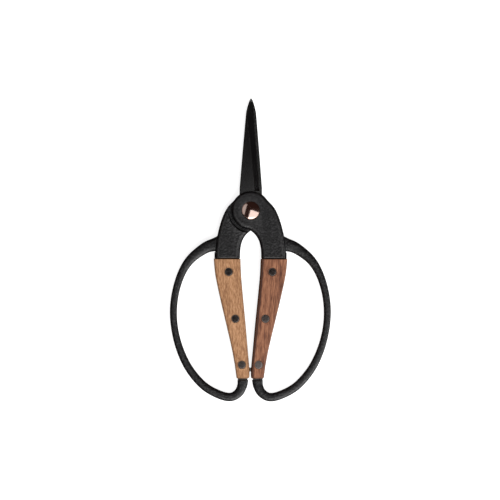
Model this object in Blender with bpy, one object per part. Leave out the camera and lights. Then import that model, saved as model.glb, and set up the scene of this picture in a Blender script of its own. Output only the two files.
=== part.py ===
"""Floral snips: two crossed halves on one pivot, each with a blade, a wooden handle and a closed finger bow.

Blender 4.5, metres, +Z up. +Y runs to the blade tips and +X to the right. The snips lie flat and closed, with the
origin under the middle of their bounding box.

The two halves are the same pieces: the left half is the right half turned over about its length. So every piece is
modelled once, in "half space": millimetres, origin on the pivot's axis in the mid-plane between the blades, for the
right handle, whose blade and head lie on top. Two empties on the pivot's axis then place it.
"""

import math

import bmesh
import bpy
from mathutils import Matrix, Vector

MM = 0.001  # every size below is written in millimetres times this, or scaled by it once in Builder.finish

# Whole object
TOTAL_THICKNESS = 12.0  # over the wood, and over the two copper domes
MID_Z = TOTAL_THICKNESS / 2
PIVOT_Y = 26.0
TIP_Y = 74.0  # the blade's tip, from the pivot
GAP = 0.3  # between neighbouring pieces
NEAR = 0.1  # points closer than this to a line count as on it

# Head and arm
HEAD_RADIUS = 12.8
HEAD_TOP = 5.6
LAP_RADIUS = 15.0  # the round recess that the other half's head turns in
LAP_FACE = GAP / 2
LAP_FLARE = ((14.0, -2.6), (14.9, -1.85), (17.4, 0.0), (22.0, 3.4), (22.0, 9.0), (12.0, 9.0))  # opens it outwards
ARM_EDGE = 2.2  # rounding of the head's and the arm's long edges
ARM_END_Y = -31.65

# Tang and wood
TANG_HALF = 1.6
TANG_INSET_OUTER = 0.5
TANG_INSET_INNER = 0.8
TANG_RUN_UP = 4.0  # how far the tang runs into the arm
TANG_RUN_DOWN = 2.0  # how far it runs into the neck
SCALE_START_Y = ARM_END_Y - GAP
SCALE_END_Y = -111.0
SCALE_EDGE = 1.3

# Bow
BOW_HALF = 2.5
NECK_END_Y = SCALE_END_Y - GAP

# Blade
BLADE_THICKNESS = 2.6
BLADE_TIP_THICKNESS = 1.5
BLADE_EDGE_THICKNESS = 0.35
BLADE_EDGE_STEP = 1.7  # from the spine of the other blade in to the cutting edge
BLADE_EDGE_RUN = 12.0  # over which that step runs out before the tip
SPINE_CHAMFER = 0.4
SPINE_START = (13.0, 7.52)  # where the straight spine starts, and its distance from the centreline there
SPINE_SLOPE = 0.0745
SPINE_CURVE = 0.00014
TIP_FULLNESS = 0.81  # the spine near the tip is this times a power of the distance to the tip
TIP_POWER = 0.63
TIP_SIDES = (-0.18, 0.12)
TIP_BEVEL = -0.05
BEVEL_START = 2.2
BEVEL_SLOPE = 0.083
BEVEL_CURVE = 0.00062
TAPER_POWER = 1.5
ROOT_RADIUS = 7.5
ROOT_DEGREES = (-80, -60, -40, -20)  # sections round the root's half circle
ROOT_Y = (0.0, 6.0, 12.8)  # sections from there to the plunge
ROOT_EDGE_WIDTH = 0.4
ROOT_EDGE_DROP = 0.2
PLUNGE_Y = 14.4  # where the ground bevel starts, just ahead of the head
BLADE_STEPS = (0.8, 6, 14, 22, 30, 38, 44, 49, 53, 56, 58, 59.2)  # sections, from the plunge
POCKET_RUN = 2.0  # how far the root's pocket runs on past the plunge

# Pivot
SHANK_RADIUS = 2.2
SLEEVE_RADIUS = 3.0
SLEEVE_BORE = SHANK_RADIUS + GAP
PIVOT_BORE = SLEEVE_RADIUS + GAP
DOME_RADIUS = 5.8
DOME_RIM = 4.9
DOME_EDGE = 0.2
DOME_STEPS = 6
DOME_SEAT = DOME_RIM - GAP
SHANK_END = -3.9
SLEEVE_END = DOME_RIM - GAP
SLEEVE_FLOOR = -4.2
WASHER_RADIUS = 6.0
WASHER_HALF = 0.25

# Handle rivets and stops
RIVET_POINTS = ((14.4, -40.5), (9.9, -71.3), (5.55, -101.6))
RIVET_NAMES = ("upper", "middle", "lower")
RIVET_HEAD_RADIUS = 2.5
RIVET_HEAD_DEPTH = 1.1
RIVET_HEAD_EDGE = 0.15
RIVET_TUBE_RADIUS = 1.6
RIVET_TUBE_BORE = 0.95
RIVET_TUBE_END = -3.5
RIVET_PIN_RADIUS = 0.65
RIVET_PIN_END = 3.0
STOP_Y = -105.0
STOP_HEAD_RADIUS = 1.4
STOP_SHANK_RADIUS = 0.8
STOP_DEPTH = 3.2
STOP_HEAD_EDGE = 0.2
STOP_DOME_DEGREES = (90, 60, 30, 0)

# Sides of round pieces
PIVOT_SIDES = 32
RIVET_SIDES = 16
CUTTER_SIDES = 64
BEYOND = 1.0  # how far a cutter runs on past the face that it opens

# The outer and inner side of the right arm, from the head down to the wood
ARM_OUTER = ((15.2, 2.2), (17.9, -2.8), (19.8, -8.0), (21.4, -14.0), (22.4, -19.2), (23.2, -25.2), (23.5, ARM_END_Y))
ARM_INNER = ((7.0, ARM_END_Y), (6.8, -26.0), (5.9, -21.2), (4.6, -18.2), (3.0, -15.9), (1.3, -14.3))
HEAD_ARC_DEGREES = (-94, 33)  # from the crotch round over the top to the outer shoulder, clockwise

# The wood's two long sides
SCALE_OUTER = ((24.0, SCALE_START_Y), (22.7, -43.3), (19.3, -59.2), (15.6, -75.0), (12.2, -90.9), (9.9, -102.0))
SCALE_INNER = ((6.9, SCALE_START_Y), (6.4, -43.3), (4.9, -59.2), (3.3, -75.0), (1.8, -90.9), (0.7, -102.0))
SCALE_FOOT = ((8.6, -110.0), (8.0, SCALE_END_Y), (1.4, SCALE_END_Y), (0.5, -110.2))

# The bow's centreline and its width there
BOW_ROUTE = (
    (20.0, -21.4, 10.4),
    (23.4, -22.5, 9.2),
    (30.1, -24.9, 7.7),
    (39.4, -32.1, 6.3),
    (45.4, -41.4, 5.4),
    (49.4, -54.0, 5.0),
    (50.8, -67.0, 4.9),
    (49.6, -80.0, 4.8),
    (45.9, -93.2, 5.1),
    (39.8, -105.3, 5.4),
    (30.6, -115.8, 5.6),
    (20.6, -121.8, 5.3),
    (12.9, -123.44, 5.3),
    (7.8, -120.6, 5.8),
    (5.5, -116.0, 6.4),
    (4.8, NECK_END_Y, 7.0),
)
BOW_STEPS = 3
BOW_SIDES = 12
BOW_SQUARENESS = 2.6  # 2 is an ellipse, more is squarer


# ---------------------------------------------------------------- materials


def finish(name, colour, roughness, metallic):
    """A plain Principled material."""
    material = bpy.data.materials.new(name)
    material.use_nodes = True
    shader = material.node_tree.nodes["Principled BSDF"]
    shader.inputs["Base Color"].default_value = (*colour, 1.0)
    shader.inputs["Roughness"].default_value = roughness
    shader.inputs["Metallic"].default_value = metallic
    material.diffuse_color = (*colour, 1.0)
    return material


# ---------------------------------------------------------------- curves


def smooth_curve(points, steps):
    """Points on a Catmull-Rom curve through the given tuples, with `steps` spans between neighbours."""
    rows = [Vector(point) for point in points]
    first = rows[0] * 2 - rows[1]
    last = rows[-1] * 2 - rows[-2]
    rows = [first, *rows, last]
    curve = []
    for a, b, c, d in zip(rows, rows[1:], rows[2:], rows[3:]):
        for step in range(steps):
            t = step / steps
            curve.append(
                0.5 * (2 * b + (c - a) * t + (2 * a - 5 * b + 4 * c - d) * t**2 + (3 * b - a - 3 * c + d) * t**3)
            )
    curve.append(rows[-2])
    return curve


def circle_points(radius, from_degrees, to_degrees, count):
    """Points on a circle round the origin, both ends included."""
    span = to_degrees - from_degrees
    angles = (math.radians(from_degrees + span * i / (count - 1)) for i in range(count))
    return [Vector((radius * math.cos(angle), radius * math.sin(angle))) for angle in angles]


def head_and_arm_outline():
    """Clockwise from the arm's inner end: up to the crotch, round the head and down the outer side."""
    start, end = HEAD_ARC_DEGREES
    inner = smooth_curve(ARM_INNER, 2)
    head = circle_points(HEAD_RADIUS, start, end - 360, 31)
    outer = smooth_curve([tuple(head[-1]), *ARM_OUTER], 2)[1:]
    return inner + head + outer


def scale_outline(inner_inset=0.0, outer_inset=0.0):
    """The wood's outline, from the arm down its inner side and back up its outer side."""
    inner = [Vector((x + inner_inset, y)) for x, y in smooth_curve(SCALE_INNER, 2)]
    outer = [Vector((x - outer_inset, y)) for x, y in smooth_curve(SCALE_OUTER, 2)]
    foot = [Vector(point) for point in reversed(SCALE_FOOT)]
    foot[0].x += inner_inset
    foot[1].x += inner_inset
    foot[2].x -= outer_inset
    foot[3].x -= outer_inset
    return inner + foot + outer[::-1]


# ---------------------------------------------------------------- mesh building


class Builder:
    """Makes one mesh in half space and turns it into an object in metres."""

    def __init__(self):
        self.bm = bmesh.new()

    def ring(self, points):
        """A closed loop of edges through 3-D points."""
        verts = [self.bm.verts.new(point) for point in points]
        return [self.bm.edges.new(pair) for pair in zip(verts, verts[1:] + verts[:1])]

    def prism(self, outline, low, high, top_edge=0.0, bottom_edge=0.0):
        """The outline extruded from low to high, with its two rims rounded by the given widths."""
        face = self.bm.faces.new([self.bm.verts.new((x, y, low)) for x, y in outline])
        grown = bmesh.ops.extrude_face_region(self.bm, geom=[face])
        moved = [item for item in grown["geom"] if isinstance(item, bmesh.types.BMVert)]
        bmesh.ops.translate(self.bm, verts=moved, vec=(0, 0, high - low))
        for height, width in ((high, top_edge), (low, bottom_edge)):
            if width:
                rim = [e for e in self.bm.edges if all(abs(v.co.z - height) < 1e-4 for v in e.verts)]
                bmesh.ops.bevel(
                    self.bm, geom=rim, offset=width, segments=2, profile=0.5, affect="EDGES", clamp_overlap=True
                )
        return self

    def loft(self, rings):
        """A skin over equal rings of points, closed by a face at each end."""
        loops = [self.ring(points) for points in rings]
        for near, far in zip(loops, loops[1:]):
            bmesh.ops.bridge_loops(self.bm, edges=near + far)
        for loop in (loops[0], loops[-1]):
            self.bm.faces.new(self.ordered(loop))
        return self

    @staticmethod
    def ordered(loop):
        """The vertices of a ring in order, as ring() made them."""
        return [edge.verts[0] for edge in loop]

    def turned(self, profile, sides, closed=False):
        """A solid of revolution about Z from (radius, height) pairs; a closed profile makes a ring."""
        verts = [self.bm.verts.new((radius, 0, height)) for radius, height in profile]
        pairs = list(zip(verts, verts[1:]))
        if closed:
            pairs.append((verts[-1], verts[0]))
        edges = [self.bm.edges.new(pair) for pair in pairs]
        bmesh.ops.spin(
            self.bm, geom=verts + edges, cent=(0, 0, 0), axis=(0, 0, 1), angle=2 * math.pi, steps=sides, use_merge=True
        )
        bmesh.ops.remove_doubles(self.bm, verts=self.bm.verts, dist=1e-4)
        return self

    def placed(self, matrix):
        """Moves everything made so far."""
        bmesh.ops.transform(self.bm, matrix=matrix, verts=self.bm.verts)
        return self

    def finish(self, name, material=None):
        """The object, in metres, with its faces pointing out."""
        bmesh.ops.recalc_face_normals(self.bm, faces=self.bm.faces)
        bmesh.ops.scale(self.bm, vec=(MM, MM, MM), verts=self.bm.verts)
        mesh = bpy.data.meshes.new(name)
        self.bm.to_mesh(mesh)
        self.bm.free()
        piece = bpy.data.objects.new(name, mesh)
        bpy.context.scene.collection.objects.link(piece)
        if material:
            mesh.materials.append(material)
        return piece


def combine(piece, others, operation):
    """Adds one Boolean for each of the others, which stay as hidden helpers until they are dropped."""
    for other in others:
        other.hide_render = True
        other.display_type = "WIRE"
        modifier = piece.modifiers.new(f"{operation.lower()} {other.name}", "BOOLEAN")
        modifier.operation = operation
        modifier.object = other


def shape_of(piece):
    """The piece's mesh with its modifiers applied; the piece and its helpers are then removed."""
    helpers = [modifier.object for modifier in piece.modifiers if modifier.type == "BOOLEAN"]
    graph = bpy.context.evaluated_depsgraph_get()
    mesh = bpy.data.meshes.new_from_object(piece.evaluated_get(graph))
    mesh.name = piece.name
    for old in [piece, *helpers]:
        bpy.data.objects.remove(old, do_unlink=True)
    mesh.shade_smooth()
    mesh.set_sharp_from_angle(angle=math.radians(35))
    return mesh


# ---------------------------------------------------------------- frame: head, arm, tang and bow


def bow_rings():
    """Rounded-rectangular sections square to the bow's route, each as wide as the route says."""
    route = smooth_curve(BOW_ROUTE, BOW_STEPS)
    rings = []
    for index, point in enumerate(route):
        before = route[max(index - 1, 0)]
        after = route[min(index + 1, len(route) - 1)]
        along = Vector((after.x - before.x, after.y - before.y)).normalized()
        if index == len(route) - 1:
            along = Vector((0, 1))  # the neck ends square, against the end of the wood
        across = Vector((along.y, -along.x))
        half = point.z / 2
        ring = []
        for side in range(BOW_SIDES):
            angle = 2 * math.pi * (side + 0.5) / BOW_SIDES
            power = 2 / BOW_SQUARENESS
            wide = math.copysign(abs(math.cos(angle)) ** power, math.cos(angle)) * half
            high = math.copysign(abs(math.sin(angle)) ** power, math.sin(angle)) * BOW_HALF
            ring.append((point.x + across.x * wide, point.y + across.y * wide, high))
        rings.append(ring)
    return rings


def turned_cutter(name, profile, sides, x=0.0, y=0.0):
    """A solid of revolution that stands at (x, y)."""
    return Builder().turned(profile, sides).placed(Matrix.Translation((x, y, 0))).finish(name)


def rod_profile(radius, low, high):
    """The turned profile of a plain rod."""
    return ((0, high), (radius, high), (radius, low), (0, low))


def frame_mesh(material):
    """The head, arm, tang and bow as one forging, with its recesses and holes."""
    frame = Builder().prism(head_and_arm_outline(), -HEAD_TOP, HEAD_TOP, ARM_EDGE, ARM_EDGE).finish(
        "handle_frame", material
    )
    top, foot = ARM_END_Y + TANG_RUN_UP, NECK_END_Y - TANG_RUN_DOWN
    tang = scale_outline(TANG_INSET_INNER, TANG_INSET_OUTER)
    tang = [Vector((x, top if y > SCALE_START_Y - NEAR else foot if y < SCALE_END_Y + NEAR else y)) for x, y in tang]
    joined = [
        Builder().prism(tang, -TANG_HALF, TANG_HALF).finish("tang"),
        Builder().loft(bow_rings()).finish("bow"),
    ]
    combine(frame, joined, "UNION")
    cutters = [
        turned_cutter("lap", rod_profile(LAP_RADIUS, -HEAD_TOP - BEYOND, LAP_FACE), CUTTER_SIDES),
        Builder().prism(LAP_FLARE, -HEAD_TOP - BEYOND, LAP_FACE).finish("lap_flare"),
        Builder().prism(root_outline(GAP), -BEYOND, LAP_FACE + BLADE_THICKNESS + GAP).finish("blade_pocket"),
        turned_cutter("pivot_bore", rod_profile(PIVOT_BORE, -BEYOND, HEAD_TOP + BEYOND), PIVOT_SIDES),
        turned_cutter("dome_seat", rod_profile(DOME_RADIUS + GAP, DOME_SEAT, HEAD_TOP + BEYOND), PIVOT_SIDES),
        stop_cutter(),
    ]
    hole = rod_profile(RIVET_TUBE_RADIUS + GAP, -TANG_HALF - BEYOND, TANG_HALF + BEYOND)
    cutters += [turned_cutter(f"rivet_hole_{i}", hole, RIVET_SIDES, *at) for i, at in enumerate(RIVET_POINTS)]
    combine(frame, cutters, "DIFFERENCE")
    return shape_of(frame)


# ---------------------------------------------------------------- blade


def spine_x(y):
    """The spine's distance from the snips' centreline, y from the pivot; straight at first, then curving to the tip."""
    reach = TIP_Y - y
    start, half = SPINE_START
    straight = half - SPINE_SLOPE * (y - start) - SPINE_CURVE * (y - start) ** 2
    rounded = TIP_FULLNESS * reach**TIP_POWER
    return min(straight, rounded)


def edge_x(y):
    """The cutting edge, a constant step inside the other blade's spine until it runs out at the tip."""
    reach = TIP_Y - y
    return spine_x(y) - BLADE_EDGE_STEP * min(1.0, reach / BLADE_EDGE_RUN)


def bevel_x(y):
    """The upper line of the ground bevel, which crosses from the edge's side to the spine near the tip."""
    ahead = y - PLUNGE_Y
    return max(BEVEL_START - BEVEL_SLOPE * ahead - BEVEL_CURVE * ahead**2, -spine_x(y) + SPINE_CHAMFER + NEAR / 2)


def blade_top(y):
    """The blade thins towards its tip."""
    share = min(max((y - PLUNGE_Y) / (TIP_Y - PLUNGE_Y), 0), 1)
    return LAP_FACE + BLADE_THICKNESS + (BLADE_TIP_THICKNESS - BLADE_THICKNESS) * share**TAPER_POWER


def root_sides(y):
    """The two sides of the root, under the head: straight, then a half circle round the pivot."""
    if y < 0:
        half = math.sqrt(max(ROOT_RADIUS**2 - y**2, 0.3))
        return -half, half
    share = min(y / PLUNGE_Y, 1)
    left = ROOT_RADIUS + (spine_x(PLUNGE_Y) - ROOT_RADIUS) * share
    right = ROOT_RADIUS + (edge_x(PLUNGE_Y) - ROOT_RADIUS) * share
    return -left, right


def root_outline(grow):
    """The root's outline grown all round, and run on past the front of the head."""
    arc = circle_points(ROOT_RADIUS + grow, 180, 360, 13)
    front = PLUNGE_Y + POCKET_RUN
    left, right = root_sides(PLUNGE_Y)
    return arc + [Vector((right + grow, front)), Vector((left - grow, front))]


def blade_ring(y, left, right, bevel, top, edge_top):
    """One section of the blade: flat below, chamfered spine, flat top, ground bevel down to the edge."""
    chamfer = min(SPINE_CHAMFER, (right - left) / 4)
    return [
        (left, y, LAP_FACE),
        (left, y, top - chamfer),
        (left + chamfer, y, top),
        (bevel, y, top),
        (right, y, edge_top),
        (right, y, LAP_FACE),
    ]


def blade_rings():
    """Sections from the round end under the head to the tip."""
    rings = []
    for y in (*(ROOT_RADIUS * math.sin(math.radians(angle)) for angle in ROOT_DEGREES), *ROOT_Y):
        left, right = root_sides(y)
        top = blade_top(y)
        rings.append(blade_ring(y, left, right, right - ROOT_EDGE_WIDTH, top, top - ROOT_EDGE_DROP))
    edge_top = LAP_FACE + BLADE_EDGE_THICKNESS
    for y in (PLUNGE_Y + step for step in BLADE_STEPS):
        rings.append(blade_ring(y, -spine_x(y), edge_x(y), bevel_x(y), blade_top(y), edge_top))
    rings.append(blade_ring(TIP_Y, *TIP_SIDES, TIP_BEVEL, blade_top(TIP_Y), edge_top))
    return rings


def blade_mesh(material):
    """The blade with its pivot hole and the shallow seat for the friction washer."""
    blade = Builder().loft(blade_rings()).finish("blade", material)
    cutters = [
        turned_cutter("blade_bore", rod_profile(PIVOT_BORE, -BEYOND, HEAD_TOP), PIVOT_SIDES),
        turned_cutter("washer_seat", rod_profile(WASHER_RADIUS + GAP, -BEYOND, WASHER_HALF + GAP), PIVOT_SIDES),
    ]
    combine(blade, cutters, "DIFFERENCE")
    return shape_of(blade)


# ---------------------------------------------------------------- wood scales


def scale_mesh(side, material):
    """One wooden scale, above the tang (side 1) or below it (side -1), drilled and counterbored for three rivets."""
    face = MID_Z
    back = TANG_HALF + GAP
    outline = scale_outline()
    span = (back, face) if side > 0 else (-face, -back)
    edges = (SCALE_EDGE, 0.0) if side > 0 else (0.0, SCALE_EDGE)
    scale = Builder().prism(outline, *span, *edges).finish("scale", material)
    floor = face - RIVET_HEAD_DEPTH - GAP
    small = RIVET_TUBE_RADIUS + GAP
    large = RIVET_HEAD_RADIUS + GAP
    high, deep = face + BEYOND, back - BEYOND
    profile = ((0, high), (large, high), (large, floor), (small, floor), (small, deep), (0, deep))
    profile = [(radius, side * height) for radius, height in profile][::side]
    cutters = [
        turned_cutter(f"counterbore_{i}", profile, RIVET_SIDES, *at) for i, at in enumerate(RIVET_POINTS)
    ]
    combine(scale, cutters, "DIFFERENCE")
    return shape_of(scale)


# ---------------------------------------------------------------- fasteners


def rivet_tube_mesh(material):
    """The female half of a handle rivet: a flat head above and a tube down through the tang."""
    face = MID_Z
    under = face - RIVET_HEAD_DEPTH
    profile = (
        (0, face),
        (RIVET_HEAD_RADIUS - RIVET_HEAD_EDGE, face),
        (RIVET_HEAD_RADIUS, face - RIVET_HEAD_EDGE),
        (RIVET_HEAD_RADIUS, under),
        (RIVET_TUBE_RADIUS, under),
        (RIVET_TUBE_RADIUS, RIVET_TUBE_END),
        (RIVET_TUBE_BORE, RIVET_TUBE_END),
        (RIVET_TUBE_BORE, under),
        (0, under),
    )
    return shape_of(Builder().turned(profile, RIVET_SIDES).finish("rivet_tube", material))


def rivet_pin_mesh(material):
    """The male half of a handle rivet: a flat head below and a pin up into the tube."""
    face = -MID_Z
    under = face + RIVET_HEAD_DEPTH
    profile = (
        (0, RIVET_PIN_END),
        (RIVET_PIN_RADIUS, RIVET_PIN_END),
        (RIVET_PIN_RADIUS, under),
        (RIVET_HEAD_RADIUS, under),
        (RIVET_HEAD_RADIUS, face + RIVET_HEAD_EDGE),
        (RIVET_HEAD_RADIUS - RIVET_HEAD_EDGE, face),
        (0, face),
    )
    return shape_of(Builder().turned(profile, RIVET_SIDES).finish("rivet_pin", material))


def stop_base_x():
    """Where the tang's inner edge stands at the stop."""
    (x_high, y_high), (x_low, y_low) = SCALE_INNER[-1], SCALE_FOOT[-1]
    share = (STOP_Y - y_high) / (y_low - y_high)
    return x_high + (x_low - x_high) * share + TANG_INSET_INNER


def sideways(x):
    """Turns a piece that was made along Z to lie along -X, with its origin at x on the stop's line."""
    return Matrix.Translation((x, STOP_Y, 0)) @ Matrix.Rotation(math.radians(-90), 4, "Y")


def stop_cutter():
    """The hole for the stop's shank in the tang's inner edge."""
    profile = rod_profile(STOP_SHANK_RADIUS + GAP, -STOP_DEPTH - GAP, BEYOND)
    return Builder().turned(profile, RIVET_SIDES).placed(sideways(stop_base_x())).finish("stop_hole")


def stop_mesh(material):
    """A small domed stud whose head meets its twin when the snips are closed."""
    base = stop_base_x()
    rim = GAP + STOP_HEAD_EDGE
    rise = base - LAP_FACE - rim
    angles = [math.radians(a) for a in STOP_DOME_DEGREES]
    dome = [(STOP_HEAD_RADIUS * math.cos(a), rim + rise * math.sin(a)) for a in angles]
    dome[0] = (0, rim + rise)
    profile = [
        *dome,
        (STOP_HEAD_RADIUS, GAP),
        (STOP_SHANK_RADIUS, GAP),
        (STOP_SHANK_RADIUS, -STOP_DEPTH),
        (0, -STOP_DEPTH),
    ]
    return shape_of(Builder().turned(profile, RIVET_SIDES).placed(sideways(base)).finish("stop", material))


# ---------------------------------------------------------------- pivot


def dome_profile():
    """The dome's outer curve, a part of a sphere, from its crown to its rim."""
    crown = MID_Z
    rise = crown - DOME_RIM - DOME_EDGE
    sphere = (DOME_RADIUS**2 + rise**2) / (2 * rise)
    reach = math.asin(DOME_RADIUS / sphere)
    angles = [reach * i / DOME_STEPS for i in range(DOME_STEPS + 1)]
    curve = [(sphere * math.sin(angle), crown - sphere * (1 - math.cos(angle))) for angle in angles]
    return [*curve, (DOME_RADIUS, DOME_RIM)]


def pivot_rivet_mesh(material):
    """The upper copper dome with its solid shank."""
    profile = [
        *dome_profile(),
        (SHANK_RADIUS, DOME_RIM),
        (SHANK_RADIUS, SHANK_END),
        (0, SHANK_END),
    ]
    return shape_of(Builder().turned(profile, PIVOT_SIDES).finish("pivot_rivet", material))


def pivot_cap_mesh(material):
    """The lower copper dome with the sleeve that both halves turn on."""
    profile = [(radius, -height) for radius, height in dome_profile()]
    profile += [
        (SLEEVE_RADIUS, -DOME_RIM),
        (SLEEVE_RADIUS, SLEEVE_END),
        (SLEEVE_BORE, SLEEVE_END),
        (SLEEVE_BORE, SLEEVE_FLOOR),
        (0, SLEEVE_FLOOR),
    ]
    return shape_of(Builder().turned(profile, PIVOT_SIDES).finish("pivot_cap", material))


def ring_mesh(name, inner, outer, low, high, material):
    """A flat washer."""
    profile = ((inner, high), (outer, high), (outer, low), (inner, low))
    return shape_of(Builder().turned(profile, PIVOT_SIDES, closed=True).finish(name, material))


# ---------------------------------------------------------------- assembly


def place(name, mesh, half, at=(0.0, 0.0)):
    """An object of this mesh, parented to its half."""
    piece = bpy.data.objects.new(name, mesh)
    bpy.context.scene.collection.objects.link(piece)
    piece.parent = half
    piece.location = Vector((at[0], at[1], 0.0)) * MM
    return piece


def half_empty(name, turn):
    """An empty on the pivot's axis at mid-height, turned over for the left half."""
    empty = bpy.data.objects.new(name, None)
    bpy.context.scene.collection.objects.link(empty)
    empty.location = Vector((0.0, PIVOT_Y, MID_Z)) * MM
    empty.rotation_euler = (0.0, turn, 0.0)
    return empty


def clear_scene():
    """Removes every object of the scene that the script starts in."""
    for old in list(bpy.data.objects):
        bpy.data.objects.remove(old, do_unlink=True)


def build():
    """Makes every mesh once and places it in both halves."""
    clear_scene()
    black = finish("powder_coated_steel", (0.028, 0.028, 0.030), 0.55, 0.0)
    blade_black = finish("black_oxide_steel", (0.016, 0.016, 0.017), 0.38, 0.6)
    copper = finish("polished_copper", (0.83, 0.46, 0.36), 0.12, 1.0)
    wood = finish("oiled_hardwood", (0.38, 0.20, 0.11), 0.55, 0.0)
    dark = finish("dark_steel", (0.03, 0.03, 0.03), 0.4, 0.8)
    bronze = finish("bronze", (0.55, 0.36, 0.18), 0.35, 1.0)
    shared = {
        "handle_frame": frame_mesh(black),
        "blade": blade_mesh(blade_black),
        "closing_stop": stop_mesh(dark),
    }
    scales = {1: scale_mesh(1, wood), -1: scale_mesh(-1, wood)}
    tube = rivet_tube_mesh(dark)
    pin = rivet_pin_mesh(dark)
    # A turned-over half carries its own upper scale at the bottom, so names follow the side that ends up on top.
    for side, turn, above in (("right", 0.0, 1), ("left", math.pi, -1)):
        half = half_empty(f"{side}_half", turn)
        for name, mesh in shared.items():
            place(f"{side}_{name}", mesh, half)
        place(f"{side}_scale_top", scales[above], half)
        place(f"{side}_scale_bottom", scales[-above], half)
        for label, at in zip(RIVET_NAMES, RIVET_POINTS):
            place(f"{side}_{label}_rivet_tube", tube, half, at)
            place(f"{side}_{label}_rivet_pin", pin, half, at)
    pivot = half_empty("pivot", 0.0)
    place("pivot_rivet", pivot_rivet_mesh(copper), pivot)
    place("pivot_cap", pivot_cap_mesh(copper), pivot)
    washer = ring_mesh("friction_washer", PIVOT_BORE, WASHER_RADIUS, -WASHER_HALF, WASHER_HALF, bronze)
    place("friction_washer", washer, pivot)


build()
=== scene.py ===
"""Floral snips: the finished look of every piece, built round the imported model.

Each piece is worked out in "half space": millimetres, origin on the pivot's axis at mid-thickness, +Y towards the
blade's tip, for the right handle, whose head and blade lie on top. The left handle is the same piece turned over
about its length. Half.place() then puts a piece into the row frame, in metres.
"""

import logging
import math
from dataclasses import dataclass
from enum import Enum
from typing import Any, Mapping, Sequence, Union

import bmesh
import bpy
import numpy as np
from mathutils import Matrix, Vector


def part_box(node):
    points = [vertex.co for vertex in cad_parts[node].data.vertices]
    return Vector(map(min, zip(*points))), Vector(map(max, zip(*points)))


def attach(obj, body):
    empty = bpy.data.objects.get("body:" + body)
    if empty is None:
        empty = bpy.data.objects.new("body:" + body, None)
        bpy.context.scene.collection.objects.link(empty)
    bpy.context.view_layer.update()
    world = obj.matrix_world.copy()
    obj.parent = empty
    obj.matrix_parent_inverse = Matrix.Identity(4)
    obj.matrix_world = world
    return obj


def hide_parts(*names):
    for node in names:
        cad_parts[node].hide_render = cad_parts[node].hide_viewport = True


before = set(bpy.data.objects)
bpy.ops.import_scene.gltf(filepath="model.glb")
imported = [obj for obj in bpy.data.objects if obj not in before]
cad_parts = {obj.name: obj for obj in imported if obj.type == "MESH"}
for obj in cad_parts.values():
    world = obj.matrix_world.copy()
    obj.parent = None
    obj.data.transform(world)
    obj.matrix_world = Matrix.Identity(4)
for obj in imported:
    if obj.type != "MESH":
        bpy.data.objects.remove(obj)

Array = np.ndarray
Number = Union[float, "Value"]

log = logging.getLogger("floral_snips")

MM = 0.001
GAP = 0.3  # between neighbouring pieces
FACE = 6.0  # the wood's and the domes' outermost height from mid-thickness
LAP_FACE = GAP / 2  # the flat faces that the two halves turn on
BEYOND = 2.0  # how far a cutter runs past what it cuts
PAST = 0.3  # how far a cutter widens past the eased edge of its opening
CREASE = math.radians(20)  # edges that turn more than this stay crisp
EXPOSED = 0.5  # an outer edge of this radius counts as fully exposed, both to wearing and to painted edge shading

# ---------------------------------------------------------------------------------------------- curves and outlines


def columns(*parts: Any) -> Array:
    """Arrays, or numbers, spread to one shape and set side by side as the last axis of one array."""
    return np.stack(np.broadcast_arrays(*parts), axis=-1)


def evenly(points: Array, spacing: float) -> Array:
    """Resamples a polyline at even steps along its length.

    Args:
        points: (N, D) points; the first two columns are x and y.
        spacing: the wanted distance between neighbours.

    Returns:
        (M, D) points, both ends kept.
    """
    steps = np.hypot(*np.diff(points[:, :2], axis=0).T)
    along = np.concatenate([[0.0], np.cumsum(steps)])
    wanted = np.linspace(0.0, along[-1], max(int(round(along[-1] / spacing)), 2) + 1)
    return columns(*(np.interp(wanted, along, column) for column in points.T))


def through(points: Sequence[Sequence[float]], spacing: float) -> Array:
    """A smooth curve through a few points, evenly spaced.

    Between neighbours b and c, with a before and d after, it is the cubic
    (2b + (c - a)t + (2a - 5b + 4c - d)t^2 + (3b - a - 3c + d)t^3) / 2 for t from 0 to 1.

    Args:
        points: the points it passes, as (x, y) or (x, y, width).
        spacing: the distance between the returned points.

    Returns:
        (M, D) points.
    """
    rows = np.array(points, float)
    rows = np.concatenate([[2 * rows[0] - rows[1]], rows, [2 * rows[-1] - rows[-2]]])
    a, b, c, d = (rows[i : len(rows) - 3 + i, None, :] for i in range(4))
    t = np.linspace(0.0, 1.0, 24, endpoint=False)[None, :, None]
    spans = 0.5 * (2 * b + (c - a) * t + (2 * a - 5 * b + 4 * c - d) * t**2 + (3 * b - a - 3 * c + d) * t**3)
    curve = np.concatenate([spans.reshape(-1, rows.shape[1]), rows[-2:-1]])
    return evenly(curve, spacing)


def arc(radius: float, start: float, end: float, count: int, centre: Sequence[float] = (0.0, 0.0)) -> Array:
    """Points at even angles on a circle, both ends included.

    Args:
        radius: the circle's radius.
        start: the first angle, in degrees.
        end: the last angle, in degrees.
        count: how many points.
        centre: the circle's centre.

    Returns:
        (count, 2) points.
    """
    angle = np.radians(np.linspace(start, end, count))
    return columns(centre[0] + radius * np.cos(angle), centre[1] + radius * np.sin(angle))


def softened(outline: Array, reach: int) -> Array:
    """Rounds the joins of a closed, evenly spaced outline.

    Each point becomes the mean of its neighbours, weighted by exp(-2 (k / reach)^2) for the k-th to either side.

    Args:
        outline: (N, 2) points.
        reach: how many neighbours count on each side.

    Returns:
        (N, 2) points.
    """
    shifts = np.arange(-reach, reach + 1)
    weights = np.exp(-2.0 * (shifts / reach) ** 2)
    stack = np.stack([np.roll(outline, shift, axis=0) for shift in shifts])
    return np.tensordot(weights / weights.sum(), stack, axes=1)


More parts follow.
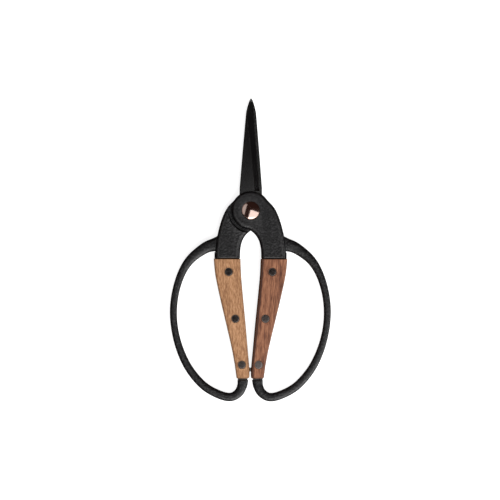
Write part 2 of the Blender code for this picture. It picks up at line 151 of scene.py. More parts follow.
def inwards(outline: Array) -> Array:
    """Unit vectors that point into a closed outline, one for each point.

    Args:
        outline: (N, 2) points, closed.

    Returns:
        (N, 2) unit vectors.
    """
    along = np.roll(outline, -1, axis=0) - np.roll(outline, 1, axis=0)
    along /= np.linalg.norm(along, axis=1, keepdims=True)
    after = np.roll(outline, -1, axis=0)
    area = np.sum(outline[:, 0] * after[:, 1] - after[:, 0] * outline[:, 1])
    return columns(-along[:, 1], along[:, 0]) * np.sign(area)


# ---------------------------------------------------------------------------------------------- surfaces


@dataclass(frozen=True)
class Shell:
    """A closed skin: (N, 3) points in millimetres and faces as lists of point numbers."""

    points: Array
    faces: list[list[int]]

    def turned_to_lie(self, x: float, y: float) -> "Shell":
        """The shell, made about +Z, laid so that its axis points along -X from the point (x, y, 0)."""
        px, py, pz = self.points.T
        return Shell(columns(x - pz, y + py, px), self.faces)

    def moved(self, x: float, y: float) -> "Shell":
        """The shell shifted in its own plane."""
        return Shell(self.points + np.array([x, y, 0.0]), self.faces)

    def mirrored(self) -> "Shell":
        """The shell turned upside down through mid-thickness, with its faces turned back out."""
        return Shell(self.points * np.array([1.0, 1.0, -1.0]), [face[::-1] for face in self.faces])


def skin(sections: Array, capped: bool = True) -> Shell:
    """A tube over closed sections: point j of row i joins j + 1 of its row and the same two of row i + 1.

    Args:
        sections: (rows, points of a section, 3) points.
        capped: whether one face closes the first row and one the last.

    Returns:
        The shell.
    """
    rows, around = sections.shape[:2]
    index = np.arange(rows * around).reshape(rows, around)
    near, far = index[:-1], index[1:]
    quads = columns(near, np.roll(near, -1, 1), np.roll(far, -1, 1), far).reshape(-1, 4).tolist()
    caps = [index[0][::-1].tolist(), index[-1].tolist()] if capped else []
    return Shell(sections.reshape(-1, 3), quads + caps)


def carried(outline: Array, profile: Array) -> Shell:
    """A profile carried round an outline: each (inset, height) of the profile is the outline moved in and lifted.

    Args:
        outline: (N, 2) points, closed.
        profile: (M, 2) pairs of inset and height, from the lower face to the upper one.

    Returns:
        The closed shell.
    """
    inset, height = profile.T[:, :, None]
    (x, y), (to_x, to_y) = outline.T, inwards(outline).T
    return skin(columns(x + to_x * inset, y + to_y * inset, height))


def turned(profile: Sequence[Sequence[float]], sides: int) -> Shell:
    """A solid of revolution about Z: (radius cos a, radius sin a, height) for each (radius, height) and angle a.

    Args:
        profile: pairs of radius and height, from the axis to the axis.
        sides: how many steps go round.

    Returns:
        The closed shell, with its two poles welded when it becomes a mesh.
    """
    radius, height = np.array(profile, float).T[:, :, None]
    angle = np.linspace(0.0, 2 * math.pi, sides, endpoint=False)
    return skin(columns(radius * np.cos(angle), radius * np.sin(angle), height), capped=False)


def bar(radius: float, low: float, high: float, sides: int = 64) -> Shell:
    """A round bar about Z between two heights, which cuts a straight hole."""
    return turned(((0.0, low), (radius, low), (radius, high), (0.0, high)), sides)


def prism(outline: Array, low: float, high: float) -> Shell:
    """An upright prism of an outline with sharp corners: the same outline at both heights."""
    return skin(columns(*outline.T, np.array([[low], [high]])))


def eased(wall: float, surface: float, ease: float, facets: int = 3, beyond: float = 0.15) -> Array:
    """The facets of a cutter that leave an eased edge where it comes out through a surface.

    The facets have one length and turn evenly from the wall to the surface; the last one runs on past the surface.

    Args:
        wall: the wall's radius, or 0 for insets.
        surface: the height of the surface, positive for an exit upwards.
        ease: the width of the eased edge.
        facets: how many facets there are.
        beyond: how far the last facet runs on.

    Returns:
        (facets + 1, 2) pairs of radius and height, upwards.
    """
    turns = math.pi / 2 * np.arange(facets, 0, -1) / (facets + 1)
    length = np.full(facets, ease / np.cos(turns).sum())
    length[-1] += beyond
    across = np.concatenate([[0.0], np.cumsum(length * np.cos(turns))])
    up = np.concatenate([[0.0], np.cumsum(length * np.sin(turns))])
    return columns(wall + across, surface - ease + up)


def rimmed_profile(half: float, shoulder: Sequence[float], wall: Sequence[float], segments: int = 16) -> Array:
    """The (inset, height) profile of a plate whose rims have a shallow shoulder over a steep rounded wall.

    At the inset u the upper face has fallen by drop (1 - u / width)^2 for the shoulder and by
    drop (1 - sqrt(1 - (1 - u / width)^2)) for the wall. The insets are width (1 - cos a) for even steps of a.

    Args:
        half: half the plate's thickness.
        shoulder: the shoulder's width and drop.
        wall: the rounded wall's width and drop.
        segments: facets in each rim.

    Returns:
        The profile, from the lower face to the upper one.
    """
    inset = shoulder[0] * (1 - np.cos(np.linspace(0.0, math.pi / 2, segments + 1)))
    sunk = shoulder[1] * (1 - inset / shoulder[0]) ** 2
    share = np.clip(1 - inset / wall[0], 0.0, 1.0)
    sunk = sunk + wall[1] * (1 - np.sqrt(1 - share**2))
    onto_flat = [[shoulder[0] + 0.2, half]]
    upper = np.concatenate([columns(inset, half - sunk), onto_flat])
    lower = upper[::-1] * np.array([1.0, -1.0])
    return np.concatenate([lower, upper])


# ---------------------------------------------------------------------------------------------- solids and pieces


def read(items: Any, name: str, width: int = 1, kind: type = np.float64) -> Array:
    """One property of every item of a mesh's collection, as (N,) numbers or (N, width) rows.

    Args:
        items: the collection, such as the points or the faces.
        name: the property's name.
        width: how many numbers an item has.
        kind: the type of the numbers.

    Returns:
        The numbers.
    """
    flat = np.empty(len(items) * width, kind)
    items.foreach_get(name, flat)
    return flat.reshape(-1, width) if width > 1 else flat


def write(mesh: bpy.types.Mesh, name: str, domain: str, values: Array) -> None:
    """Keeps a number for each point or face corner as an attribute."""
    attribute = mesh.attributes.new(name, "FLOAT", domain)
    attribute.data.foreach_set("value", values.astype(np.float32))


class Solid:
    """A closed mesh in half space that others can be joined to or cut from."""

    def __init__(self, name: str, shell: Shell) -> None:
        """Puts the shell into a mesh with its poles welded and its faces pointing out.

        Args:
            name: a plain name.
            shell: its points and faces.
        """
        self.name = name
        self.mesh = bpy.data.meshes.new(name)
        self.mesh.from_pydata(shell.points.tolist(), [], shell.faces)
        work = bmesh.new()
        work.from_mesh(self.mesh)
        bmesh.ops.remove_doubles(work, verts=work.verts, dist=1e-5)
        if work.calc_volume(signed=True) < 0:
            bmesh.ops.reverse_faces(work, faces=work.faces)
        work.to_mesh(self.mesh)
        work.free()

    def _combine(self, operation: str, others: Sequence["Solid"]) -> "Solid":
        """Joins or cuts the others one after another and keeps the result as this solid's mesh.

        Args:
            operation: the Boolean's name.
            others: the solids to join or to cut away.

        Returns:
            This solid.
        """
        host = bpy.data.objects.new(self.name, self.mesh)
        helpers = [bpy.data.objects.new(other.name, other.mesh) for other in others]
        for thing in (host, *helpers):
            bpy.context.scene.collection.objects.link(thing)
        for helper in helpers:
            modifier = host.modifiers.new(helper.name, "BOOLEAN")
            modifier.operation = operation
            modifier.solver = "EXACT"
            modifier.object = helper
        graph = bpy.context.evaluated_depsgraph_get()
        self.mesh = bpy.data.meshes.new_from_object(host.evaluated_get(graph))
        for thing in (host, *helpers):
            bpy.data.objects.remove(thing, do_unlink=True)
        return self

    def points(self) -> Array:
        """The (N, 3) places of its points."""
        return read(self.mesh.vertices, "co", 3)

    def lean(self) -> Array:
        """How far each point's normal leans from the vertical, in degrees."""
        upright = np.abs(read(self.mesh.vertices, "normal", 3)[:, 2])
        return np.degrees(np.arccos(np.clip(upright, 0.0, 1.0)))

    def note(self, name: str, values: Array) -> "Solid":
        """Keeps a value for each point as an attribute."""
        write(self.mesh, name, "POINT", values)
        return self

    def join(self, *others: "Solid") -> "Solid":
        """Adds the others to this solid."""
        return self._combine("UNION", others)

    def cut(self, *others: "Solid") -> "Solid":
        """Takes the others away from this solid."""
        return self._combine("DIFFERENCE", others)


def edge_wear(mesh: bpy.types.Mesh, reach: float, small: float = 2.5) -> Array:
    """How exposed each face corner is: 1 on a tight outer edge, 0 on flats and in hollows.

    Across each edge the surface turns by an angle over the width of the narrower of its two faces, counted only where
    it turns away. A corner takes the largest such curvature at its point, times `reach`, if its face is small.

    Args:
        mesh: a closed mesh in millimetres.
        reach: the radius, in millimetres, of an edge that counts as fully exposed.
        small: the side, in millimetres, below which a face is small.

    Returns:
        One value for each loop of the mesh.
    """
    edge_of_loop = read(mesh.loops, "edge_index", 1, np.int32)
    point_of_loop = read(mesh.loops, "vertex_index", 1, np.int32)
    ends = read(mesh.edges, "vertices", 2, np.int32)
    points = read(mesh.vertices, "co", 3)
    area = read(mesh.polygons, "area")
    normal, centre = read(mesh.polygons, "normal", 3), read(mesh.polygons, "center", 3)
    face_of_loop = np.repeat(np.arange(len(area)), read(mesh.polygons, "loop_total", 1, np.int32))
    order = np.argsort(edge_of_loop, kind="stable")
    counts = np.bincount(edge_of_loop, minlength=len(ends))
    first = np.concatenate([[0], np.cumsum(counts)[:-1]])
    paired = counts == 2
    one = face_of_loop[order[first[paired]]]
    two = face_of_loop[order[first[paired] + 1]]
    turn = np.arccos(np.clip(np.sum(normal[one] * normal[two], axis=1), -1, 1))
    outer = np.sum((centre[two] - centre[one]) * normal[one], axis=1) < 0
    length = np.linalg.norm(points[ends[:, 0]] - points[ends[:, 1]], axis=1)[paired] + 1e-9
    width = np.minimum(area[one], area[two]) / length + 1e-3
    curved = np.where(outer, turn / width, 0.0)
    most = np.zeros(len(points))
    for end in ends[paired].T:
        np.maximum.at(most, end, curved)
    return np.clip(most[point_of_loop] * reach, 0.0, 1.0) * (np.sqrt(area[face_of_loop]) < small)


class Half(Enum):
    """The two halves of the snips: the name of the body each rides on, and which way up it lies."""

    RIGHT = ("right", 1.0)
    LEFT = ("left", -1.0)

    @property
    def side(self) -> str:
        """The half's plain name."""
        return self.value[0]

    @property
    def body(self) -> str:
        """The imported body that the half's pieces ride on."""
        return f"{self.side}_half"

    def placing(self) -> Matrix:
        """The matrix from half space to the row frame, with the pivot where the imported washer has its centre.

        Returns:
            The matrix, which also turns millimetres into metres.
        """
        low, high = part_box("friction_washer")
        centre = (low + high) / 2
        way = self.value[1]
        return Matrix.Translation(centre) @ Matrix.Diagonal((way * MM, MM, way * MM, 1.0))


@dataclass(frozen=True)
class Role:
    """What a piece stands for: its name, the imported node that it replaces, and its slot and body."""

    name: str
    node: str
    slot: str
    body: str


def install(
    role: Role,
    solid: Solid,
    placing: Matrix,
    material: bpy.types.Material,
    values: Mapping[str, float],
) -> bpy.types.Object:
    """Puts a finished solid into the scene as a piece.

    Args:
        role: its name, node, slot and body.
        solid: the solid, in half space.
        placing: the matrix into the row frame.
        material: its finish.
        values: attributes that are the same all over the piece.

    Returns:
        The piece, at the origin with its place in its mesh.
    """
    mesh = solid.mesh.copy()
    mesh.name = role.name
    write(mesh, "wear", "CORNER", edge_wear(mesh, EXPOSED))
    for name, value in values.items():
        write(mesh, name, "POINT", np.full(len(mesh.vertices), value))
    mesh.transform(placing)
    mesh.shade_smooth()
    mesh.set_sharp_from_angle(angle=CREASE)
    mesh.materials.clear()
    mesh.materials.append(material)
    piece = bpy.data.objects.new(role.name, mesh)
    bpy.context.scene.collection.objects.link(piece)
    flats = piece.modifiers.new("even flats", "WEIGHTED_NORMAL")
    flats.keep_sharp = True
    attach(piece, role.body)
    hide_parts(role.node)
    log.info("%s: %d faces, for %s, rides %s", role.name, len(mesh.polygons), role.node, role.body)
    return piece


# ---------------------------------------------------------------------------------------------- shader graphs


class Value:
    """A number that varies over a surface; arithmetic on it adds Math nodes."""

    def __init__(self, graph: "Graph", socket: bpy.types.NodeSocket) -> None:
        """Wraps an output socket of the graph."""
        self.graph = graph
        self.socket = socket

    def _math(self, operation: str, first: Number, second: Number) -> "Value":
        """One Math node on two numbers or sockets."""
        node = self.graph.node("ShaderNodeMath", {"operation": operation}, {0: first, 1: second})
        return Value(self.graph, node.outputs[0])

    def __add__(self, other: Number) -> "Value":
        """self + other."""
        return self._math("ADD", self, other)

    __radd__ = __add__

    def __sub__(self, other: Number) -> "Value":
        """self - other."""
        return self._math("SUBTRACT", self, other)

    def __rsub__(self, other: Number) -> "Value":
        """other - self."""
        return self._math("SUBTRACT", other, self)

    def __mul__(self, other: Number) -> "Value":
        """self * other."""
        return self._math("MULTIPLY", self, other)

    __rmul__ = __mul__

    def __pow__(self, other: Number) -> "Value":
        """self to the power of other."""
        return self._math("POWER", self, other)

    def at_most(self, other: Number) -> "Value":
        """The smaller of the two."""
        return self._math("MINIMUM", self, other)

    def sine(self) -> "Value":
        """The sine of this angle in radians."""
        return self._math("SINE", self, 0.0)

    def step(self, low: float, high: float) -> "Value":
        """0 below low, 1 above high and a smooth rise between; with low above high it falls instead.

        Args:
            low: where it leaves 0.
            high: where it reaches 1.

        Returns:
            The step.
        """
        node = self.graph.node(
            "ShaderNodeMapRange",
            {"interpolation_type": "SMOOTHSTEP"},
            {"Value": self, "From Min": low, "From Max": high},
        )
        return Value(self.graph, node.outputs["Result"])


class Graph:
    """A material with one Principled shader and the nodes that feed it."""

    def __init__(self, name: str) -> None:
        """Starts an empty material with its output and its shader.

        Args:
            name: the material's name.
        """
        self.material = bpy.data.materials.new(name)
        self.material.use_nodes = True
        self.tree = self.material.node_tree
        self.tree.nodes.clear()
        self.shader = self.node("ShaderNodeBsdfPrincipled", {}, {})
        self.node("ShaderNodeOutputMaterial", {}, {"Surface": self.shader.outputs["BSDF"]})

    def node(self, kind: str, settings: Mapping[str, Any], sockets: Mapping[Any, Any]) -> bpy.types.Node:
        """Adds one node.

        Args:
            kind: the node's type.
            settings: its properties, which are set first; "stops" gives a ramp its (place, colour) pairs.
            sockets: values or links for its inputs, by name, identifier or number.

        Returns:
            The node.
        """
        node = self.tree.nodes.new(kind)
        for key, value in settings.items():
            if key == "stops":
                elements = node.color_ramp.elements
                for _ in range(len(value) - 2):
                    elements.new(0.5)
                for element, (place, colour) in zip(elements, value):
                    element.position, element.color = place, (*colour, 1.0)
            else:
                setattr(node, key, value)
        for key, value in sockets.items():
            self.feed(node, key, value)
        return node

    def feed(self, node: bpy.types.Node, key: Any, value: Any) -> None:
        """Sets or links one input of a node, found by number, identifier or name.

        Args:
            node: the node.
            key: the input's number, identifier or name.
            value: a number, a colour, a value or a socket.
        """
        if isinstance(key, int):
            target = node.inputs[key]
        else:
            target = next(s for s in node.inputs if key in (s.identifier, s.name))
        if isinstance(value, Value):
            value = value.socket
        if isinstance(value, bpy.types.NodeSocket):
            self.tree.links.new(value, target)
        elif target.type == "RGBA":
            target.default_value = (*value, 1.0)
        else:
            target.default_value = value

    def place(
        self,
        centre: Sequence[float] = (0.0, 0.0, 0.0),
        turn: float = 0.0,
        stretch: Sequence[float] = (1.0, 1.0, 1.0),
    ) -> bpy.types.NodeSocket:
        """Object coordinates in millimetres, measured from a centre, turned about Z and then stretched.

        Args:
            centre: the point that becomes the origin, in metres.
            turn: the angle about Z, in radians.
            stretch: what each axis is multiplied by.

        Returns:
            The vector socket.
        """
        found = self.node("ShaderNodeTexCoord", {}, {}).outputs["Object"]
        shift = {"Location": tuple(-c / MM for c in centre), "Scale": (1 / MM, 1 / MM, 1 / MM)}
        for mapping in (shift, {"Rotation": (0.0, 0.0, turn)}):
            node = self.node("ShaderNodeMapping", {"vector_type": "POINT"}, {"Vector": found, **mapping})
            found = node.outputs["Vector"]
        node = self.node("ShaderNodeVectorMath", {"operation": "MULTIPLY"}, {0: found, 1: tuple(stretch)})
        return node.outputs["Vector"]

    def noise(self, vector: bpy.types.NodeSocket, size: float, detail: float = 2.0, roughness: float = 0.5) -> Value:
        """Smooth noise from about 0 to 1 whose features are `size` millimetres across.

        Args:
            vector: the coordinates that it reads.
            size: the size of a feature.
            detail: how many finer octaves it has.
            roughness: how strong the finer octaves are.

        Returns:
            The noise.
        """
        node = self.node(
            "ShaderNodeTexNoise",
            {"noise_dimensions": "3D"},
            {"Vector": vector, "Scale": 1 / size, "Detail": detail, "Roughness": roughness},
        )
        return Value(self, node.outputs["Fac"])

    def attribute(self, name: str) -> Value:
        """A value that the piece's mesh holds."""
        node = self.node("ShaderNodeAttribute", {"attribute_type": "GEOMETRY", "attribute_name": name}, {})
        return Value(self, node.outputs["Fac"])

    def split(self, vector: bpy.types.NodeSocket) -> tuple[Value, Value, Value]:
        """The three parts of a vector."""
        node = self.node("ShaderNodeSeparateXYZ", {}, {"Vector": vector})
        return Value(self, node.outputs[0]), Value(self, node.outputs[1]), Value(self, node.outputs[2])

    def ramp(self, value: Value, stops: Sequence[tuple[float, Sequence[float]]]) -> bpy.types.NodeSocket:
        """A colour that runs through the given stops."""
        node = self.node("ShaderNodeValToRGB", {"stops": stops}, {"Fac": value})
        return node.outputs["Color"]

    def mix(self, share: Number, first: Any, second: Any) -> bpy.types.NodeSocket:
        """The first colour, with the given share of the second.

        Args:
            share: how much of the second, from 0 to 1.
            first: a colour or a colour socket.
            second: a colour or a colour socket.

        Returns:
            The colour socket.
        """
        node = self.node(
            "ShaderNodeMix",
            {"data_type": "RGBA", "clamp_factor": True},
            {"Factor_Float": share, "A_Color": first, "B_Color": second},
        )
        return next(s for s in node.outputs if s.identifier == "Result_Color")

    def scaled(self, colour: Any, amount: Number) -> bpy.types.NodeSocket:
        """A colour made lighter or darker by an amount."""
        node = self.node("ShaderNodeVectorMath", {"operation": "SCALE"}, {"Vector": colour, "Scale": amount})
        return node.outputs["Vector"]

    def bump(self, height: Value, depth: float, strength: float = 1.0, under: Any = None) -> bpy.types.NodeSocket:
        """Relief of the given depth in millimetres, over an earlier relief if there is one.

        Args:
            height: the relief, from 0 to 1.
            depth: its depth in millimetres.
            strength: how much of it counts.
            under: the earlier relief.

        Returns:
            The normal socket.
        """
        sockets = {"Height": height, "Distance": depth * MM, "Strength": strength}
        if under is not None:
            sockets["Normal"] = under
        return self.node("ShaderNodeBump", {}, sockets).outputs["Normal"]

    def finish(self, **sockets: Any) -> bpy.types.Material:
        """Feeds the shader and hands over the material; an underscore in a name stands for a space.

        Args:
            **sockets: values or links for the shader's inputs.

        Returns:
            The material.
        """
        for key, value in sockets.items():
            self.feed(self.shader, key.replace("_", " "), value)
        return self.material


# ---------------------------------------------------------------------------------------------- finishes

Colour = tuple[float, float, float]


@dataclass(frozen=True)
class PowderCoat:
    """Matt black powder coating: a fine orange peel, a mottled tone, and shoulders and edges drawn lighter, partly as
    worn coating and partly as a painted highlight.

    Sizes and depths of grit, peel, clouds and scuffs are in millimetres.
    """

    tone: Colour = (0.0026, 0.0026, 0.0030)
    flecked: Colour = (0.0220, 0.0214, 0.0226)
    # lighter colour of the shoulders and edges: partly worn coating, partly painted highlight
    rubbed: Colour = (0.025, 0.0245, 0.025)
    roughness: float = 0.34
    gloss: float = 0.6
    grit_size: float = 0.55
    grit_depth: float = 0.08
    peel_size: float = 1.25
    peel_depth: float = 0.30
    cloud_size: float = 9.0
    scuff_size: float = 1.6

    def material(self, name: str) -> bpy.types.Material:
        """Builds the coating: pale flecks where the peel is high, and a lighter colour along the shoulders and edges,
        partly worn coating and partly a painted highlight.

        Args:
            name: the material's name.

        Returns:
            The material.
        """
        graph = Graph(name)
        place = graph.place()
        grit = graph.noise(place, self.grit_size, 2.0, 0.6)
        peel = graph.noise(place, self.peel_size, 2.0, 0.6)
        cloud = graph.noise(place, self.cloud_size, 3.0)
        fleck = peel.step(0.47, 0.69) * 0.85 + (grit - 0.5) * 0.5
        colour = graph.mix(fleck, graph.scaled(self.tone, 0.8 + cloud * 0.4), self.flecked)
        scuffs = graph.noise(place, self.scuff_size, 3.0, 0.65).step(0.36, 0.60)
        # rub: the shoulder band is a painted highlight, always partly on; the scuffed share on exposed edges stands
        # for worn coating
        rub = graph.attribute("shoulder") * (0.35 + scuffs * 0.65) + graph.attribute("wear") * scuffs * 0.35
        colour = graph.mix(rub.at_most(1.0), colour, self.rubbed)
        roughness = self.roughness + (cloud - 0.5) * 0.08 + (peel - 0.5) * 0.22 - rub * 0.04
        relief = graph.bump(grit, self.grit_depth, 1.0, graph.bump(peel, self.peel_depth))
        return graph.finish(Base_Color=colour, Roughness=roughness, Normal=relief, Specular_IOR_Level=self.gloss)


@dataclass(frozen=True)
class BlackOxide:
    """Blackened blade steel: fine grinding lines across the blade under a thin, even oxide."""

    tone: Colour = (0.0030, 0.0030, 0.0032)
    bright: Colour = (0.06, 0.058, 0.056)
    roughness: float = 0.18
    gloss: float = 0.68
    line_size: float = 0.16
    line_depth: float = 0.012
    cloud_size: float = 6.0
    rub_size: float = 1.4

    def material(self, name: str) -> bpy.types.Material:
        """Builds the oxide; the lines are noise stretched across the blade's width.

        Args:
            name: the material's name.

        Returns:
            The material.
        """
        graph = Graph(name)
        place = graph.place()
        lines = graph.noise(graph.place(turn=0.05, stretch=(0.03, 1.0, 0.3)), self.line_size, 3.0, 0.7)
        cloud = graph.noise(place, self.cloud_size, 3.0)
        rub = graph.attribute("wear") * graph.noise(place, self.rub_size, 4.0, 0.7).step(0.40, 0.62)
        light = 0.78 + cloud * 0.22 + lines * 0.22
        colour = graph.mix(rub * 0.35, graph.scaled(self.tone, light), self.bright)
        roughness = self.roughness + (cloud - 0.5) * 0.08 + (lines - 0.5) * 0.12
        relief = graph.bump(lines, self.line_depth, 0.6)
        return graph.finish(Base_Color=colour, Roughness=roughness, Normal=relief, Specular_IOR_Level=self.gloss)


@dataclass(frozen=True)
class OiledWood:
    """Oiled hardwood with its grain along the handle: bands of tone, fine fibres and short open pores.

    `lean` turns the grain, `streaks` and `pores` are the strength of the bands and of the pores, `shortness` is how
    short the fine grain is along the handle, and `heartwood` is the strength of a darker strip along the inner side.
    """

    light: Colour
    middle: Colour
    dark: Colour
    pore: Colour
    lean: float
    streaks: float
    shortness: float
    heartwood: float
    pores: float = 0.65
    # shade: how dark the inner strip and the painted shade on the rounded edges are, as a share of the wood's tone
    shade: float = 0.45
    sway_size: float = 7.0
    band_size: float = 1.9
    fibre_size: float = 0.30
    pore_size: float = 0.42
    grain_size: float = 0.70
    relief_depth: float = 0.06

    def material(self, name: str) -> bpy.types.Material:
        """Builds the wood as a solid pattern, so that the ends of a scale show end grain.

        Args:
            name: the material's name.

        Returns:
            The material.
        """
        graph = Graph(name)
        place = graph.place(turn=self.lean)
        sway = graph.noise(graph.place(turn=self.lean, stretch=(1.0, 0.22, 1.0)), self.sway_size, 1.0)
        bands = graph.noise(graph.place(turn=self.lean, stretch=(1.0, 0.035, 0.8)), self.band_size, 3.0, 0.62)
        fibres = graph.noise(graph.place(turn=self.lean, stretch=(1.0, 0.06, 1.0)), self.fibre_size, 2.0, 0.6)
        open_pores = graph.noise(graph.place(turn=self.lean * 0.6, stretch=(1.0, 0.14, 1.0)), self.pore_size, 1.0)
        pore = open_pores.step(0.60, 0.72) * (0.4 + graph.noise(place, 0.8, 2.0) * 0.9)
        along = graph.place(turn=self.lean, stretch=(1.0, self.shortness, 1.0))
        grain = graph.noise(along, self.grain_size, 2.0, 0.6)
        tone = 0.5 + (bands - 0.5) * self.streaks + (fibres - 0.5) * 0.9 + (grain - 0.5) * 1.8 + (sway - 0.5) * 0.5
        wood = graph.ramp(tone, ((0.12, self.dark), (0.5, self.middle), (0.86, self.light)))
        colour = graph.mix((pore * self.pores).at_most(0.85), wood, self.pore)
        inner = graph.attribute("across") + (sway - 0.5) * 1.6
        colour = graph.mix(inner.step(2.3, 1.5) * self.heartwood, colour, graph.scaled(self.dark, self.shade))
        # painted shade: the rounded edges are drawn towards a darker tone of the wood
        wear = graph.attribute("wear")
        colour = graph.mix(wear * 0.85, colour, graph.scaled(self.middle, self.shade))
        roughness = 0.50 + (fibres - 0.5) * 0.18 + pore * 0.16 - wear * 0.08
        relief = graph.bump(fibres * 0.35 - pore, self.relief_depth, 0.7)
        return graph.finish(Base_Color=colour, Roughness=roughness, Normal=relief)


@dataclass(frozen=True)
class PolishedCopper:
    """Mirror-polished copper with hairline scratches and a slightly darker rim."""

    tone: Colour = (0.90, 0.665, 0.585)
    aged: Colour = (0.60, 0.30, 0.21)
    roughness: float = 0.07
    rim_from: float = 4.9
    rim_to: float = 5.75
    hair_size: float = 0.10
    haze_size: float = 2.2
    wave_size: float = 3.4
    wave_depth: float = 0.018

    def material(self, name: str, centre: Vector) -> bpy.types.Material:
        """Builds the copper round the pivot's axis, which passes through `centre`.

        Args:
            name: the material's name.
            centre: a point on the pivot's axis, in metres.

        Returns:
            The material.
        """
        graph = Graph(name)
        place = graph.place(centre=centre)
        x, y, _ = graph.split(place)
        rim = ((x * x + y * y) ** 0.5).step(self.rim_from, self.rim_to)
        hair = graph.noise(graph.place(turn=0.7, stretch=(1.0, 0.04, 0.2)), self.hair_size, 1.0)
        haze = graph.noise(place, self.haze_size, 3.0)
        colour = graph.mix(rim * 0.45 + (haze - 0.5) * 0.18, self.tone, self.aged)
        roughness = self.roughness + haze * 0.05 + rim * 0.10 + hair.step(0.62, 0.74) * 0.06
        relief = graph.bump(graph.noise(place, self.wave_size, 1.0), self.wave_depth)
        return graph.finish(Base_Color=colour, Roughness=roughness, Metallic=1.0, Normal=relief)


@dataclass(frozen=True)
class TurnedMetal:
    """Metal faced on a lathe: fine rings round an axis, patina in patches and brighter worn rims.

    The mesh's `polish` runs from 0, dark, to 1, bright; on the handle rivets its values paint light, brighter on the
    lower rivets and on the right handle. The rings' height is sin(ring_rate r) at the radius r.
    """

    dark: Colour
    bright: Colour
    roughness: float
    metallic: float
    gloss: float = 0.5
    ring_rate: float = 24.0
    ring_depth: float = 0.004
    patina_size: float = 1.7

    def material(self, name: str, centres: Sequence[Vector]) -> bpy.types.Material:
        """Builds the metal.

        Args:
            name: the material's name.
            centres: the axes of the rings, parallel to Z; the nearest one counts.

        Returns:
            The material.
        """
        graph = Graph(name)
        radius: Number = 1e3
        for centre in centres:
            x, y, _ = graph.split(graph.place(centre=centre))
            distance = (x * x + y * y) ** 0.5
            radius = distance if isinstance(radius, float) else distance.at_most(radius)
        place = graph.place()
        rings = (radius * self.ring_rate + graph.noise(place, 1.2, 2.0) * 3.0).sine()
        patina = graph.noise(place, self.patina_size, 4.0, 0.6)
        # on the handle rivets this value is painted light, brighter towards the lower right
        shine = graph.attribute("polish") + (patina - 0.5) * 0.5 + graph.attribute("wear") * 0.4
        return graph.finish(
            Base_Color=graph.mix(shine.at_most(1.0), self.dark, self.bright),
            Roughness=self.roughness + (patina - 0.5) * 0.16 + rings * 0.025,
            Metallic=self.metallic,
            Normal=graph.bump(rings, self.ring_depth, 0.8),
            Specular_IOR_Level=self.gloss,
        )


# ---------------------------------------------------------------------------------------------- handle


